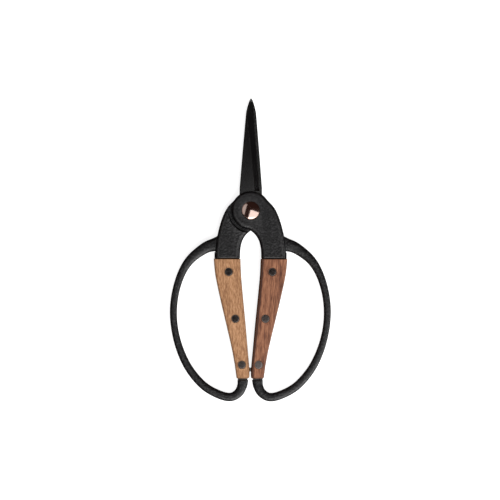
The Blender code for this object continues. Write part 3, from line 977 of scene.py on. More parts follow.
@dataclass(frozen=True)
class WoodScale:
    """One wooden scale of a handle: rounded long edges, crisp ends, three counterbored holes."""

    start: float = -31.95
    end: float = -110.6
    edge: float = 1.3
    end_ease: float = 0.35
    back: float = 1.9
    crown: float = 0.10
    head_hole: float = 2.62
    head_depth: float = 1.4
    small_hole: float = 1.9
    hole_ease: float = 0.12
    stations: tuple = (0.02, *np.linspace(0.12, 0.88, 9), 0.98)  # shares of the way across the crowned face
    rows: int = 110
    outer: tuple = ((24.3, -31.95), (23.05, -43.3), (19.65, -59.2), (15.9, -75.0), (12.2, -90.9), (10.1, -102.0))
    inner: tuple = ((6.65, -31.95), (6.15, -43.3), (4.7, -59.2), (3.15, -75.0), (1.75, -90.9), (0.75, -102.0))
    outer_foot: tuple = ((9.3, -108.0), (9.05, -110.1), (8.7, -110.6))
    inner_foot: tuple = ((0.48, -106.0), (0.42, -109.0), (0.65, -110.1), (1.0, -110.6))

    def sides(self, y: Array) -> tuple[Array, Array]:
        """Where the two long sides stand at each y, on smooth curves down to the foot and straight from there.

        Args:
            y: (rows,) places along the handle.

        Returns:
            The inner side's x and the outer side's x.
        """
        found = []
        for points, foot in ((self.inner, self.inner_foot), (self.outer, self.outer_foot)):
            curve = np.concatenate([through(points, 0.25), np.array(foot)])[::-1]
            found.append(np.interp(y, curve[:, 1], curve[:, 0]))
        return found[0], found[1]

    def section(self, y: Array, ease: Array) -> Array:
        """Sections across the handle, each drawn in by its `ease`.

        From the back up the inner side, a quarter circle of radius edge - ease, a gently crowned face, the other
        quarter circle and down the outer side.

        Args:
            y: (rows,) places along the handle.
            ease: (rows,) how far each section is drawn in.

        Returns:
            (rows, columns, 3) points.
        """
        inner, outer = (side[:, None] for side in self.sides(y))
        inset = ease[:, None]
        radius = self.edge - inset
        angle = np.linspace(0.0, math.pi / 2, 9)[None]
        low_x = inner + inset + radius * (1 - np.cos(angle))
        low_z = FACE - self.crown - inset - radius * (1 - np.sin(angle))
        share = np.array(self.stations)[None]
        start, stop = inner + self.edge, outer - self.edge
        face_x = start + (stop - start) * share
        face_z = FACE - self.crown - inset + self.crown * (1 - (2 * share - 1) ** 2)
        high_x = outer - inset - radius * (1 - np.cos(angle[:, ::-1]))
        x = np.concatenate([inner + inset, low_x, face_x, high_x, outer - inset], axis=1)
        base = np.full_like(inset, self.back)
        z = np.concatenate([base, low_z, face_z, low_z[:, ::-1], base], axis=1)
        return columns(x, y[:, None], z)

    def solid(self, upper: bool, rivets: Sequence[Sequence[float]]) -> Solid:
        """The scale with its holes; its `across` is each point's distance from the inner side.

        Args:
            upper: whether it lies above mid-thickness in half space.
            rivets: the centres of its rivets.

        Returns:
            The solid.
        """
        turn = np.linspace(0.0, math.pi / 2, 6)
        lead = self.end_ease * (1 - np.cos(turn))
        drawn = self.end_ease * (1 - np.sin(turn))
        body = np.linspace(self.start - 0.6, self.end + 1.2, self.rows)
        y = np.concatenate([self.start - lead, body, (self.end + lead)[::-1]])
        ease = np.concatenate([drawn, np.zeros_like(body), drawn[::-1]])
        shell = skin(self.section(y, ease))
        floor = FACE - self.head_depth
        bore = [
            (0.0, 1.0),
            (self.small_hole, 1.0),
            (self.small_hole, floor),
            (self.head_hole, floor),
            *eased(self.head_hole, FACE - self.crown * 0.4, self.hole_ease),
            (self.head_hole + PAST, FACE + BEYOND),
            (0.0, FACE + BEYOND),
        ]
        hole = turned(bore, 64)
        if not upper:
            shell, hole = shell.mirrored(), hole.mirrored()
        holes = [Solid(f"hole_{i}", hole.moved(*at)) for i, at in enumerate(rivets)]
        scale = Solid("wood_scale", shell).cut(*holes)
        x, y, _ = scale.points().T
        return scale.note("across", x - self.sides(y)[0])


@dataclass(frozen=True)
class HandleFrame:
    """The coated steel of one half: head, arm, tang and bow in one forging."""

    spacing: float = 0.3  # between the outline's points
    head_radius: float = 12.8
    top: float = 5.6
    shoulder: tuple = (3.0, 1.15)
    shoulder_leans: tuple = (3.0, 8.0, 16.0, 26.0)  # degrees
    wall: tuple = (1.3, 2.8)
    arm_end: float = -31.65
    arm_outer: tuple = (
        (15.2, 2.2),
        (17.9, -2.8),
        (19.8, -8.0),
        (21.4, -14.0),
        (22.4, -19.2),
        (23.2, -25.2),
        (23.5, -31.65),
    )
    arm_inner: tuple = ((7.0, -31.65), (6.8, -26.0), (5.9, -21.2), (4.6, -18.2), (3.0, -15.9), (1.3, -14.3))
    head_from: float = -94.0  # degrees
    head_to: float = 33.0  # degrees
    run_on: float = 3.0
    run_on_inner: float = 7.1
    run_on_outer: float = 23.6
    end_ease: float = 0.9
    end_depth: float = 30.0  # how far below the arm's end the metal is cleared
    end_width: tuple = (-5.0, 40.0)
    lap_radius: float = 15.0
    lap_ease: float = 0.35
    lap_fillet: float = 1.0
    lap_flare: tuple = ((14.0, -2.6), (14.9, -1.85), (17.4, 0.0), (22.0, 3.4), (22.0, 9.0), (12.0, 9.0))
    bore_radius: float = 3.3
    seat_radius: float = 6.1
    seat_floor: float = 4.6
    seat_ease: float = 0.22
    tang_half: float = 1.6
    tang_inside: tuple = (4.0, 2.0)  # how far it runs on inside the arm and the neck
    tang_inner_inset: float = 0.8
    tang_outer_inset: float = 0.5
    rivet_hole: float = 1.9
    bow_half: float = 2.5
    bow_squareness: float = 2.6
    bow_fullness: float = 0.96  # of the route's widths
    bow_sides: int = 56
    bow_spacing: float = 0.7
    neck_end: float = -111.8
    neck_ease: float = 0.6
    neck_taper: float = 0.3
    bow_route: tuple = (
        (20.0, -21.4, 10.4),
        (23.4, -22.5, 9.2),
        (30.1, -24.9, 7.7),
        (39.4, -32.1, 6.3),
        (45.4, -41.4, 5.4),
        (49.4, -54.0, 5.0),
        (50.8, -67.0, 4.9),
        (49.6, -80.0, 4.8),
        (45.9, -93.2, 5.1),
        (39.8, -105.3, 5.4),
        (30.6, -115.8, 5.6),
        (20.5, -121.55, 5.8),
        (12.9, -123.15, 5.9),
        (7.7, -120.4, 6.2),
        (5.3, -115.8, 6.8),
        (4.8, -111.8, 7.4),
    )

    def outline(self) -> Array:
        """The head's and the arm's outline, run on past the arm's end in a half circle that is cut off later.

        Returns:
            (N, 2) points, closed.
        """
        low = self.arm_end - self.run_on
        inner = through(((self.run_on_inner, low), *self.arm_inner), self.spacing)
        head = arc(self.head_radius, self.head_from, self.head_to - 360, 200)
        outer = through((tuple(head[-1]), *self.arm_outer, (self.run_on_outer, low)), self.spacing)
        middle, radius = (self.run_on_outer + self.run_on_inner) / 2, (self.run_on_outer - self.run_on_inner) / 2
        foot = arc(radius, 0, -180, 60, (middle, low))
        closed = np.concatenate([inner, head, outer[1:], foot[1:]])
        return softened(evenly(closed, self.spacing)[:-1], 3)

    def plate(self) -> Solid:
        """The head and the arm, cut square at the arm's end and opened for blade, pivot and the other half.

        Returns:
            The solid.
        """
        plate = Solid("plate", carried(self.outline(), rimmed_profile(self.top, self.shoulder, self.wall)))
        reach = self.top + BEYOND
        lap = [
            (0.0, LAP_FACE),
            *arc(self.lap_fillet, 90, 0, 7, (self.lap_radius - self.lap_fillet, LAP_FACE - self.lap_fillet)),
            *(eased(self.lap_radius, self.top, self.lap_ease, 4) * np.array([1.0, -1.0])),
            (self.lap_radius + self.lap_ease + PAST, -reach),
            (0.0, -reach),
        ]
        seat = [
            (0.0, self.seat_floor),
            (self.seat_radius, self.seat_floor),
            *eased(self.seat_radius, self.top, self.seat_ease, 4),
            (self.seat_radius + self.seat_ease + PAST, reach),
            (0.0, reach),
        ]
        return plate.cut(
            self.end_cutter(),
            Solid("lap", turned(lap, 160)),
            self.flare_cutter(),
            Blade().pocket(),
            Solid("seat", turned(seat, 96)),
            Solid("bore", bar(self.bore_radius, -1.0, reach)),
        )

    def end_cutter(self) -> Solid:
        """Everything below the arm's end, shaped to leave eased edges: a section in y and z, drawn out along x.

        Returns:
            The cutter.
        """
        corner = eased(0.0, self.top, self.end_ease, 7)
        upper = corner + np.array([self.arm_end, 0.0])
        lower = upper[::-1] * np.array([1.0, -1.0])
        reach, far = self.top + BEYOND, self.arm_end - self.end_depth
        below, above = [[far, -reach], [lower[0, 0], -reach]], [[upper[-1, 0], reach], [far, reach]]
        section = np.concatenate([below, lower, upper, above])
        return Solid("arm_end", skin(columns(np.array(self.end_width)[:, None], *section.T)))

    def flare_cutter(self) -> Solid:
        """The opening that lets the other half's arm leave the lap, with an eased lower edge.

        Returns:
            The cutter.
        """
        corners = np.array(self.lap_flare)
        outline = evenly(np.concatenate([corners, corners[:1]]), 0.4)[:-1]
        exit_facets = eased(0.0, self.top, self.lap_ease, 4) * np.array([-1.0, -1.0])
        low = [[-(self.lap_ease + PAST), -self.top - BEYOND]]
        profile = np.concatenate([low, exit_facets[::-1], [[0.0, LAP_FACE]]])
        return Solid("lap_flare", carried(outline, profile))

    def bow(self) -> Solid:
        """The finger bow: squared ovals carried along its route.

        Each section is (half sgn(cos a) |cos a|^(2/n), bow_half sgn(sin a) |sin a|^(2/n)), with n the squareness and
        half the route's half width, square to the route. The last six draw it in by ease (1 - cos t) and hold it back
        by ease (1 - sin t), for t from 0 to 90 degrees, which eases the neck's end.

        Returns:
            The solid.
        """
        route = through(self.bow_route, self.bow_spacing)
        along = np.gradient(route[:, :2], axis=0)
        along /= np.linalg.norm(along, axis=1, keepdims=True)
        along[-1] = (0.0, 1.0)
        across = columns(along[:, 1], -along[:, 0])
        angle = np.linspace(0.0, 2 * math.pi, self.bow_sides, endpoint=False) + math.pi / self.bow_sides
        power = 2 / self.bow_squareness
        wide = np.sign(np.cos(angle)) * np.abs(np.cos(angle)) ** power
        high = np.sign(np.sin(angle)) * np.abs(np.sin(angle)) ** power
        turn = np.linspace(0.0, math.pi / 2, 6)[:, None]
        drawn = np.concatenate([np.zeros((len(route) - 1, 1)), self.neck_ease * (1 - np.cos(turn))])
        back = np.concatenate([np.zeros((len(route) - 1, 1)), self.neck_ease * (1 - np.sin(turn))])
        route = np.concatenate([route, np.repeat(route[-1:], len(turn) - 1, axis=0)])
        across = np.concatenate([across, np.repeat(across[-1:], len(turn) - 1, axis=0)])
        half = route[:, 2:3] / 2 * self.bow_fullness - drawn * self.neck_taper
        tall = self.bow_half - drawn
        x = route[:, :1] + across[:, :1] * wide * half
        y = route[:, 1:2] + across[:, 1:] * wide * half - back
        return Solid("bow", skin(columns(x, y, high * tall)))

    def tang(self, wood: WoodScale, rivets: Sequence[Sequence[float]], stop: "ClosingStop") -> Solid:
        """The flat tang between the scales, from inside the arm to inside the neck, with its holes.

        Args:
            wood: the scale that lies on it.
            rivets: the centres of its rivets.
            stop: the stud in its inner side.

        Returns:
            The solid.
        """
        into_arm, into_neck = self.tang_inside
        y = np.linspace(self.arm_end + into_arm, self.neck_end - into_neck, 60)
        inner, outer = wood.sides(y)
        left, right = inner + self.tang_inner_inset, outer - self.tang_outer_inset
        height = np.array([-1.0, -1.0, 1.0, 1.0]) * self.tang_half
        tang = Solid("tang", skin(columns(columns(left, right, right, left), y[:, None], height)))
        reach = self.tang_half + BEYOND
        hole = bar(self.rivet_hole, -reach, reach, 48)
        holes = [Solid(f"tang_hole_{i}", hole.moved(*at)) for i, at in enumerate(rivets)]
        return tang.cut(*holes, stop.hole(self.stop_base(wood, stop)))

    def stop_base(self, wood: WoodScale, stop: "ClosingStop") -> float:
        """Where the tang's inner side stands at the closing stop."""
        inner, _ = wood.sides(np.array([stop.y]))
        return float(inner[0]) + self.tang_inner_inset

    def solid(self, wood: WoodScale, rivets: Sequence[Sequence[float]], stop: "ClosingStop") -> Solid:
        """The whole forging.

        Its `shoulder` is 1 where a flat of the plate turns into a rim, at leans of 8 to 16 degrees; the coating
        paints a highlight there.

        Args:
            wood: the scale that lies on its tang.
            rivets: the centres of its rivets.
            stop: the stud in its tang.

        Returns:
            The solid.
        """
        forging = self.plate().join(self.bow(), self.tang(wood, rivets, stop))
        x, y, _ = forging.points().T
        # shoulder: the band where the coating paints its highlight line
        near = np.interp(forging.lean(), self.shoulder_leans, (0.0, 1.0, 1.0, 0.0))
        return forging.note("shoulder", near * (x < self.arm_outer[-1][0]) * (y > self.arm_end - 0.5))


@dataclass(frozen=True)
class HandleRivet:
    """A cutler's rivet: a tube with a flat head on one side and a pin with a flat head on the other."""

    head_radius: float = 2.5
    head_depth: float = 1.1
    rim: float = 0.16
    tube_radius: float = 1.6
    bore_radius: float = 0.95
    tube_end: float = -3.5
    pin_radius: float = 0.65
    pin_top: float = 3.0
    dish: float = 0.05
    sides: int = 56

    def head(self) -> Array:
        """The head's turned profile, faintly domed, from its crown round the eased rim to its underside.

        Returns:
            (N, 2) pairs of radius and height.
        """
        radius = np.linspace(0.0, self.head_radius - self.rim, 7)
        face = columns(radius, FACE - self.dish * (radius / self.head_radius) ** 2)
        angle = np.linspace(0.0, math.pi / 2, 4)[1:]
        rim_radius = self.head_radius - self.rim * (1 - np.sin(angle))
        rim = columns(rim_radius, face[-1, 1] - self.rim * (1 - np.cos(angle)))
        return np.concatenate([face, rim, [[self.head_radius, FACE - self.head_depth]]])

    def tube(self) -> Shell:
        """The female half, with its head above.

        Returns:
            The shell, round the Z axis.
        """
        under = FACE - self.head_depth
        inside = [
            (self.tube_radius, under),
            (self.tube_radius, self.tube_end),
            (self.bore_radius, self.tube_end),
            (self.bore_radius, under),
            (0.0, under),
        ]
        return turned(np.concatenate([self.head(), inside]), self.sides)

    def pin(self) -> Shell:
        """The male half, with its head below.

        Returns:
            The shell, round the Z axis.
        """
        under = FACE - self.head_depth
        shank = [(self.pin_radius, under), (self.pin_radius, -self.pin_top), (0.0, -self.pin_top)]
        return turned(np.concatenate([self.head(), shank]), self.sides).mirrored()


@dataclass(frozen=True)
class ClosingStop:
    """A small blunt stud in the tang's inner side that meets its twin when the snips close."""

    y: float = -105.0
    head_radius: float = 1.6
    tip_radius: float = 0.8
    tip_gap: float = 0.03
    shank_radius: float = 0.8
    depth: float = 3.2

    def hole(self, base: float) -> Solid:
        """The hole for its shank."""
        hole = bar(self.shank_radius + GAP, -self.depth - GAP, 1.0, 32)
        return Solid("stop_hole", hole.turned_to_lie(base, self.y))

    def solid(self, base: float) -> Solid:
        """The stud, its flank (tip + (R - tip) cos a, under + rise sin a) for a from 90 to 0 degrees.

        Args:
            base: the x of the tang's inner side.

        Returns:
            The solid.
        """
        height, under = base - self.tip_gap, GAP + 0.2
        angle = np.radians(np.linspace(90.0, 0.0, 10))
        radius = self.tip_radius + (self.head_radius - self.tip_radius) * np.cos(angle)
        flank = columns(radius, under + (height - under) * np.sin(angle))
        dome = np.concatenate([[[0.0, height]], flank])
        stem = [
            (self.head_radius, GAP),
            (self.shank_radius, GAP),
            (self.shank_radius, -self.depth),
            (0.0, -self.depth),
        ]
        return Solid("closing_stop", turned(np.concatenate([dome, stem]), 48).turned_to_lie(base, self.y))


# ---------------------------------------------------------------------------------------------- blade and pivot


@dataclass(frozen=True)
class Blade:
    """The ground blade, with its round root under the head."""

    tip: float = 74.0
    plunge: float = 14.4
    plunge_length: float = 1.6
    thickness: float = 2.6
    thinning: float = 1.1
    edge_thickness: float = 0.35
    chamfer: float = 0.4
    lower_chamfer: float = 0.6  # of the upper one
    spine_from: float = 13.0
    spine_curve: tuple = (7.52, 0.0745, 0.00014)
    point_curve: tuple = (0.81, 0.63)
    edge_inset: float = 1.7
    edge_run_out: float = 12.0
    bevel_curve: tuple = (2.2, 0.083, 0.00062)
    end_gap: float = 0.03  # the last section stands this far before the tip
    root_radius: float = 7.5
    bore_radius: float = 3.3
    seat_radius: float = 6.3
    seat_height: float = 0.55

    @staticmethod
    def parabola(curve: Sequence[float], along: Array) -> Array:
        """First - second * along - third * along^2."""
        return curve[0] - curve[1] * along - curve[2] * along**2

    def spine(self, y: Array) -> Array:
        """The spine's distance from the centreline: a shallow parabola, then a (tip - y)^b round to the tip.

        Args:
            y: (rows,) places along the blade.

        Returns:
            (rows,) distances.
        """
        scale, power = self.point_curve
        point = scale * np.maximum(self.tip - y, self.end_gap) ** power
        return np.minimum(self.parabola(self.spine_curve, y - self.spine_from), point)

    def cutting_edge(self, y: Array) -> Array:
        """The cutting edge: a fixed inset inside the spine's distance, running out over the last stretch."""
        return self.spine(y) - self.edge_inset * np.minimum(1.0, (self.tip - y) / self.edge_run_out)

    def bevel(self, y: Array) -> Array:
        """The upper line of the ground bevel, a parabola from near the edge across to the spine.

        Args:
            y: (rows,) places along the blade.

        Returns:
            (rows,) places across it.
        """
        free = self.parabola(self.bevel_curve, y - self.plunge)
        left, right = -self.spine(y), self.cutting_edge(y)
        return np.maximum(free, left + np.minimum(self.chamfer, (right - left) / 4) + 0.05)

    def top(self, y: Array) -> Array:
        """The upper face, which sinks with the 1.5th power of the way from the plunge to the tip."""
        share = np.clip((y - self.plunge) / (self.tip - self.plunge), 0.0, 1.0)
        return LAP_FACE + self.thickness - self.thinning * share**1.5

    def root_sides(self, y: Array) -> tuple[Array, Array]:
        """The two sides under the head: a half circle round the pivot, then straight to the blade proper.

        Args:
            y: (rows,) places along the blade.

        Returns:
            The spine side's x and the edge side's x.
        """
        share = np.clip(y / self.plunge, 0.0, 1.0)
        at = np.array([self.plunge])
        left = self.root_radius + (self.spine(at) - self.root_radius) * share
        right = self.root_radius + (self.cutting_edge(at) - self.root_radius) * share
        round_half = np.sqrt(np.maximum(self.root_radius**2 - np.minimum(y, 0.0) ** 2, 0.05))
        return np.where(y < 0, -round_half, -left), np.where(y < 0, round_half, right)

    def sections(self, y: Array) -> Array:
        """Sections across the blade, lower face first, then up the spine and over to the edge.

        The bevel falls in a straight line from its upper line to the edge. Over the plunge its depth grows as a
        quarter ellipse, sqrt(1 - (1 - s)^2), which leaves the ramp of a grinding wheel.

        Args:
            y: (rows,) places along the blade.

        Returns:
            (rows, columns, 3) points.
        """
        ahead = y >= self.plunge
        root_left, root_right = self.root_sides(y)
        left = np.where(ahead, -self.spine(y), root_left)
        right = np.where(ahead, self.cutting_edge(y), root_right)
        width = right - left
        chamfer = np.minimum(self.chamfer, width / 4)
        line = np.where(ahead, self.bevel(y), np.minimum(self.bevel(np.maximum(y, self.plunge)), right - width * 0.1))
        line = np.maximum(line, left + chamfer * 1.1)
        share = np.clip((y - self.plunge + self.plunge_length) / self.plunge_length, 0.0, 1.0)
        ground = np.sqrt(1 - (1 - share) ** 2)
        top = self.top(y)
        low = np.full_like(top, LAP_FACE)
        fall = (top - LAP_FACE - self.edge_thickness) * ground
        steps = np.linspace(0.0, 1.0, 8)
        bevel_x = line[:, None] + (right - line)[:, None] * steps
        bevel_z = top[:, None] - fall[:, None] * steps
        flat = left + chamfer
        support = np.minimum(0.15, (line - flat) / 4)
        lower = chamfer * self.lower_chamfer
        x = columns(right, left + lower, left, left, flat, flat + support, line - support)
        z = columns(low, low, low + lower, top - chamfer, top, top, top)
        return columns(np.hstack([x, bevel_x]), y[:, None], np.hstack([z, bevel_z]))

    def solid(self) -> Solid:
        """The blade with its pivot hole and the shallow seat for the washer.

        Returns:
            The solid.
        """
        angle = np.radians(np.linspace(-86.0, 0.0, 16))
        ramp = self.plunge - self.plunge_length * (1 - np.linspace(0.0, 1.0, 13) ** 1.5)
        y = np.concatenate(
            [
                self.root_radius * np.sin(angle),
                np.linspace(0.0, self.plunge - self.plunge_length, 8)[1:-1],
                ramp,
                self.tip - (self.tip - self.plunge) * np.linspace(1.0, 0.0, 90)[1:-1] ** 1.15,
                [self.tip - self.end_gap],
            ]
        )
        blade = Solid("blade", skin(self.sections(y)))
        bore = Solid("blade_bore", bar(self.bore_radius, -1.0, 5.0))
        return blade.cut(bore, Solid("washer_seat", bar(self.seat_radius, -1.0, self.seat_height)))

    def pocket(self) -> Solid:
        """The recess in the head that takes the root: its outline grown by the gap and run on forwards.

        Returns:
            The cutter.
        """
        front = self.plunge + BEYOND
        left, right = self.root_sides(np.array([self.plunge]))
        ahead = [[right[0] + GAP, front], [left[0] - GAP, front]]
        outline = np.concatenate([arc(self.root_radius + GAP, 180, 360, 49), ahead])
        return Solid("blade_pocket", prism(outline, -1.0, LAP_FACE + self.thickness + GAP))


@dataclass(frozen=True)
class Pivot:
    """The copper pivot: an upper dome with a solid shank and a lower dome with the sleeve that it enters."""

    radius: float = 5.8
    rim: float = 4.9
    rim_edge: float = 0.2
    lip: tuple = ((0.08, 0.0), (0.02, 0.06), (0.0, 0.14))  # the rolled edge: how far in and how far down
    sides: int = 96
    shank: float = 2.2
    shank_end: float = -3.9
    sleeve: float = 3.0
    sleeve_bore: float = 2.5
    sleeve_end: float = 4.6
    sleeve_floor: float = -4.2

    def dome(self) -> Array:
        """The dome's profile, part of a sphere down to an eased rim.

        Returns:
            (N, 2) pairs of radius and height.
        """
        rise = FACE - self.rim - self.rim_edge
        sphere = (self.radius**2 + rise**2) / (2 * rise)
        angle = np.linspace(0.0, math.asin((self.radius - self.lip[0][0]) / sphere), 30)
        cap = columns(sphere * np.sin(angle), FACE - sphere * (1 - np.cos(angle)))
        edge = [(self.radius - inset, cap[-1, 1] - fall) for inset, fall in self.lip[1:]]
        return np.concatenate([cap, edge, [(self.radius, self.rim)]])

    def rivet(self) -> Solid:
        """The upper dome with its shank."""
        stem = [(self.shank, self.rim), (self.shank, self.shank_end), (0.0, self.shank_end)]
        return Solid("pivot_rivet_copper", turned(np.concatenate([self.dome(), stem]), self.sides))

    def cap(self) -> Solid:
        """The lower dome with its sleeve.

        Returns:
            The solid.
        """
        sleeve = [
            (self.sleeve, -self.rim),
            (self.sleeve, self.sleeve_end),
            (self.sleeve_bore, self.sleeve_end),
            (self.sleeve_bore, self.sleeve_floor),
            (0.0, self.sleeve_floor),
        ]
        dome = self.dome() * np.array([1.0, -1.0])
        return Solid("pivot_cap_copper", turned(np.concatenate([dome, sleeve]), self.sides))


# ---------------------------------------------------------------------------------------------- the whole object


@dataclass(frozen=True)
class Snips:
    """The whole assembly: shared solids, one finish for each material, and the pieces of both halves."""

    rivets: tuple = (("upper", 14.4, -40.5), ("middle", 9.9, -71.3), ("lower", 5.55, -101.6))
    # each half's rivet heads, upper to lower: painted light, brighter towards the bottom and on the right handle, as
    # if nearer the key
    polish: tuple = ((Half.LEFT, (0.05, 0.08, 0.19)), (Half.RIGHT, (0.07, 0.22, 0.47)))
    stop_polish: float = 0.15

    def woods(self) -> dict[Half, bpy.types.Material]:
        """The pale wood of the left handle and the red-brown wood of the right one.

        Returns:
            The wood of each half.
        """
        pale = OiledWood(
            light=(0.52, 0.285, 0.15),
            middle=(0.372, 0.188, 0.088),
            dark=(0.22, 0.098, 0.045),
            pore=(0.15, 0.06, 0.026),
            lean=math.radians(-2.0),
            streaks=0.6,
            shortness=0.2,
            heartwood=0.0,
        )
        red = OiledWood(
            light=(0.35, 0.156, 0.083),
            middle=(0.224, 0.0885, 0.0445),
            dark=(0.085, 0.028, 0.016),
            pore=(0.055, 0.018, 0.012),
            lean=math.radians(2.5),
            streaks=1.3,
            shortness=0.08,
            heartwood=0.92,
        )
        return {Half.LEFT: pale.material("pale_wood"), Half.RIGHT: red.material("red_wood")}

    def build(self) -> None:
        """Makes every piece, halves first and pivot last."""
        places = [(x, y) for _, x, y in self.rivets]
        wood, stop, handle, rivet = WoodScale(), ClosingStop(), HandleFrame(), HandleRivet()
        frame_solid = handle.solid(wood, places, stop)
        blade_solid = Blade().solid()
        stop_solid = stop.solid(handle.stop_base(wood, stop))
        scales = {upper: wood.solid(upper, places) for upper in (True, False)}
        coat = PowderCoat().material("powder_coat")
        oxide = BlackOxide().material("black_oxide")
        woods = self.woods()
        centres = [half.placing() @ Vector((x, y, 0.0)) for half in Half for _, x, y in self.rivets]
        steel = TurnedMetal(dark=(0.022, 0.018, 0.016), bright=(0.36, 0.31, 0.29), roughness=0.42, metallic=0.9)
        rivet_steel = steel.material("rivet_steel", centres)
        patina = {"dark": (0.008, 0.003, 0.0015), "bright": (0.035, 0.014, 0.006)}
        bronze = TurnedMetal(**patina, roughness=0.6, metallic=0.0, gloss=0.0)
        stop_bronze = bronze.material("stop_bronze", centres[:1])
        for half, polish in self.polish:
            side, wood_slot = half.side, f"{half.side}_wood"
            pieces = [
                ("frame_coated", "handle_frame", "frame_coating", frame_solid, coat, {}),
                ("blade_ground", "blade", "blade_oxide", blade_solid, oxide, {}),
                ("stop_domed", "closing_stop", "dark_steel", stop_solid, stop_bronze, {"polish": self.stop_polish}),
                ("wood_top", "scale_top", wood_slot, scales[half is Half.RIGHT], woods[half], {}),
                ("wood_bottom", "scale_bottom", wood_slot, scales[half is Half.LEFT], woods[half], {}),
            ]
            for (label, x, y), shine in zip(self.rivets, polish):
                for kind, shell in (("tube", rivet.tube()), ("pin", rivet.pin())):
                    names = (f"{label}_{kind}_turned", f"{label}_rivet_{kind}", "dark_steel")
                    pieces.append((*names, Solid(kind, shell.moved(x, y)), rivet_steel, {"polish": shine}))
            for name, node, slot, solid, material, values in pieces:
                role = Role(f"{side}_{name}", f"{side}_{node}", slot, half.body)
                install(role, solid, half.placing(), material, values)
        self.build_pivot()

    def build_pivot(self) -> None:
        """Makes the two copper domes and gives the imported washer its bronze."""
        placing = Half.RIGHT.placing()
        centre = placing.to_translation()
        copper = PolishedCopper().material("polished_copper", centre)
        pivot = Pivot()
        body = Half.LEFT.body
        install(Role("pivot_dome_upper", "pivot_rivet", "copper", body), pivot.rivet(), placing, copper, {})
        install(Role("pivot_dome_lower", "pivot_cap", "copper", body), pivot.cap(), placing, copper, {})
        bronze = TurnedMetal(dark=(0.42, 0.24, 0.10), bright=(0.72, 0.48, 0.24), roughness=0.34, metallic=1.0)
        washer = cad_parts["friction_washer"]
        material = bronze.material("washer_bronze", [centre])
        if not washer.material_slots:
            washer.data.materials.append(material)
        washer.material_slots[0].material = material


# ---------------------------------------------------------------------------------------------- studio


@dataclass(frozen=True)
class Lamp:
    """A rectangular soft light: the way to it, its distance and sides in metres, and how bright its face is."""

    towards: tuple
    distance: float
    size: tuple
    radiance: float
    mirrored: bool = True  # whether polished surfaces show it

    def build(self, name: str) -> None:
        """Hangs the light so that it faces the object.

        Args:
            name: the light's name.
        """
        data = bpy.data.lights.new(name, "AREA")
        data.shape = "RECTANGLE"
        data.size, data.size_y = self.size
        data.energy = self.radiance * math.pi * self.size[0] * self.size[1]
        lamp = bpy.data.objects.new(name, data)
        way = Vector(self.towards).normalized()
        lamp.location = way * self.distance
        lamp.rotation_euler = way.to_track_quat("Z", "Y").to_euler()
        lamp.visible_glossy = self.mirrored
        bpy.context.scene.collection.objects.link(lamp)


@dataclass(frozen=True)
class Panel:
    """A glowing sheet above the camera that polished metal mirrors.

    Its corners are shares of its height, to the right and towards the tip.
    """

    corners: tuple
    radiance: float

    def build(self, name: str, height: float) -> None:
        """Hangs the sheet at a height in metres.

        Args:
            name: the sheet's name.
            height: its height above the table.
        """
        mesh = bpy.data.meshes.new(name)
        points = [(x * height, y * height, height) for x, y in self.corners]
        mesh.from_pydata(points, [], [tuple(range(len(points)))])
        glow = {"Emission_Color": (1.0, 1.0, 1.0), "Emission_Strength": self.radiance}
        mesh.materials.append(Graph(name).finish(Base_Color=(0.0, 0.0, 0.0), **glow))
        sheet = bpy.data.objects.new(name, mesh)
        bpy.context.scene.collection.objects.link(sheet)
        sheet.visible_camera = False
        sheet.visible_shadow = False


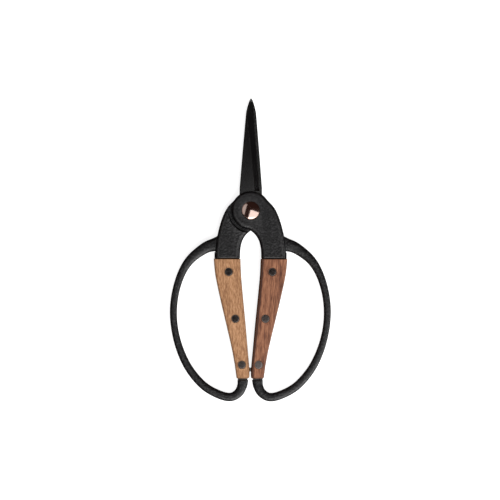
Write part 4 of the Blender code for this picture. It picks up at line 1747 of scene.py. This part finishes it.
@dataclass(frozen=True)
class Studio:
    """A pale table under soft lights, seen from straight above; lengths are in metres."""

    field: float = 0.3294  # the width of the view at the handles' height
    height: float = 1.6
    aim: tuple = (-0.0004, -0.0001)
    subject_height: float = 0.009
    roll: float = math.radians(0.2)
    floor_size: float = 6.0
    floor_drop: float = 0.0002
    floor_tone: Colour = (0.45, 0.45, 0.447)
    floor_glow: float = 0.88
    room_tone: Colour = (1.0, 0.52, 0.42)
    room_glow: float = 0.022
    key: Lamp = Lamp((0.36, -0.42, 1.0), 3.2, (1.76, 1.76), 8.4, mirrored=False)
    low_window: Lamp = Lamp((0.66, -0.92, 0.45), 1.9, (1.4, 0.5), 6.5)
    side: Lamp = Lamp((1.0, -0.20, 0.15), 1.9, (1.2, 0.7), 3.0)
    softbox: Panel = Panel(((0.0, 0.08), (0.76, -0.18), (1.3, -0.42), (1.3, -0.50), (-0.17, -0.50)), 1.10)
    window: Panel = Panel(((-0.17, -0.50), (1.3, -0.50), (1.3, -1.4), (-0.51, -1.4)), 2.6)
    reflector: Panel = Panel(((-0.26, 0.52), (-0.47, -0.28), (-0.75, -0.30), (-0.75, 0.52)), 0.45)

    def camera(self) -> None:
        """Sets the camera up, looking straight down with +Y upwards in its view."""
        data = bpy.data.cameras.new("camera")
        data.type = "PERSP"
        data.sensor_width = 36.0
        data.sensor_fit = "HORIZONTAL"
        data.angle = 2 * math.atan(self.field / 2 / (self.height - self.subject_height))
        camera = bpy.data.objects.new("camera", data)
        camera.location = (*self.aim, self.height)
        camera.rotation_euler.z = self.roll
        bpy.context.scene.collection.objects.link(camera)
        bpy.context.scene.camera = camera

    def floor(self) -> None:
        """Lays the table: nearly white, faintly mottled, and lit a little from within so that shadows stay pale."""
        half = self.floor_size / 2
        mesh = bpy.data.meshes.new("table")
        corners = [(-half, -half, 0.0), (half, -half, 0.0), (half, half, 0.0), (-half, half, 0.0)]
        mesh.from_pydata(corners, [], [(0, 1, 2, 3)])
        table = bpy.data.objects.new("table", mesh)
        table.location.z = -self.floor_drop
        bpy.context.scene.collection.objects.link(table)
        graph = Graph("table_white")
        mottle = graph.noise(graph.place(), 60.0, 2.0)
        glow = {"Emission_Color": (1.0, 1.0, 1.0), "Emission_Strength": self.floor_glow}
        colour = graph.scaled(self.floor_tone, 0.99 + mottle * 0.02)
        mesh.materials.append(graph.finish(Base_Color=colour, Roughness=0.75, Specular_IOR_Level=0.1, **glow))
        table.visible_glossy = False

    def lights(self) -> None:
        """Hangs a key at the lower right, two side lights and the panels, and sets a dim, warm room."""
        self.key.build("key")
        self.low_window.build("low_window")
        self.side.build("side")
        above = self.height + 0.1
        self.softbox.build("softbox", above)
        self.window.build("window", above)
        self.reflector.build("reflector", above)
        world = bpy.data.worlds.new("room")
        world.use_nodes = True
        background = world.node_tree.nodes["Background"]
        background.inputs["Color"].default_value = (*self.room_tone, 1.0)
        background.inputs["Strength"].default_value = self.room_glow
        bpy.context.scene.world = world

    def build(self) -> None:
        """Sets the whole studio up."""
        self.camera()
        self.floor()
        self.lights()
        bpy.context.scene.view_settings.view_transform = "Standard"
        bpy.context.scene.view_settings.look = "None"


def main() -> None:
    """Builds the studio and the snips."""
    logging.basicConfig(level=logging.INFO, format="%(name)s: %(message)s")
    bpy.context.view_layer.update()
    Studio().build()
    Snips().build()
    bpy.context.view_layer.update()


if __name__ == "__main__":
    main()
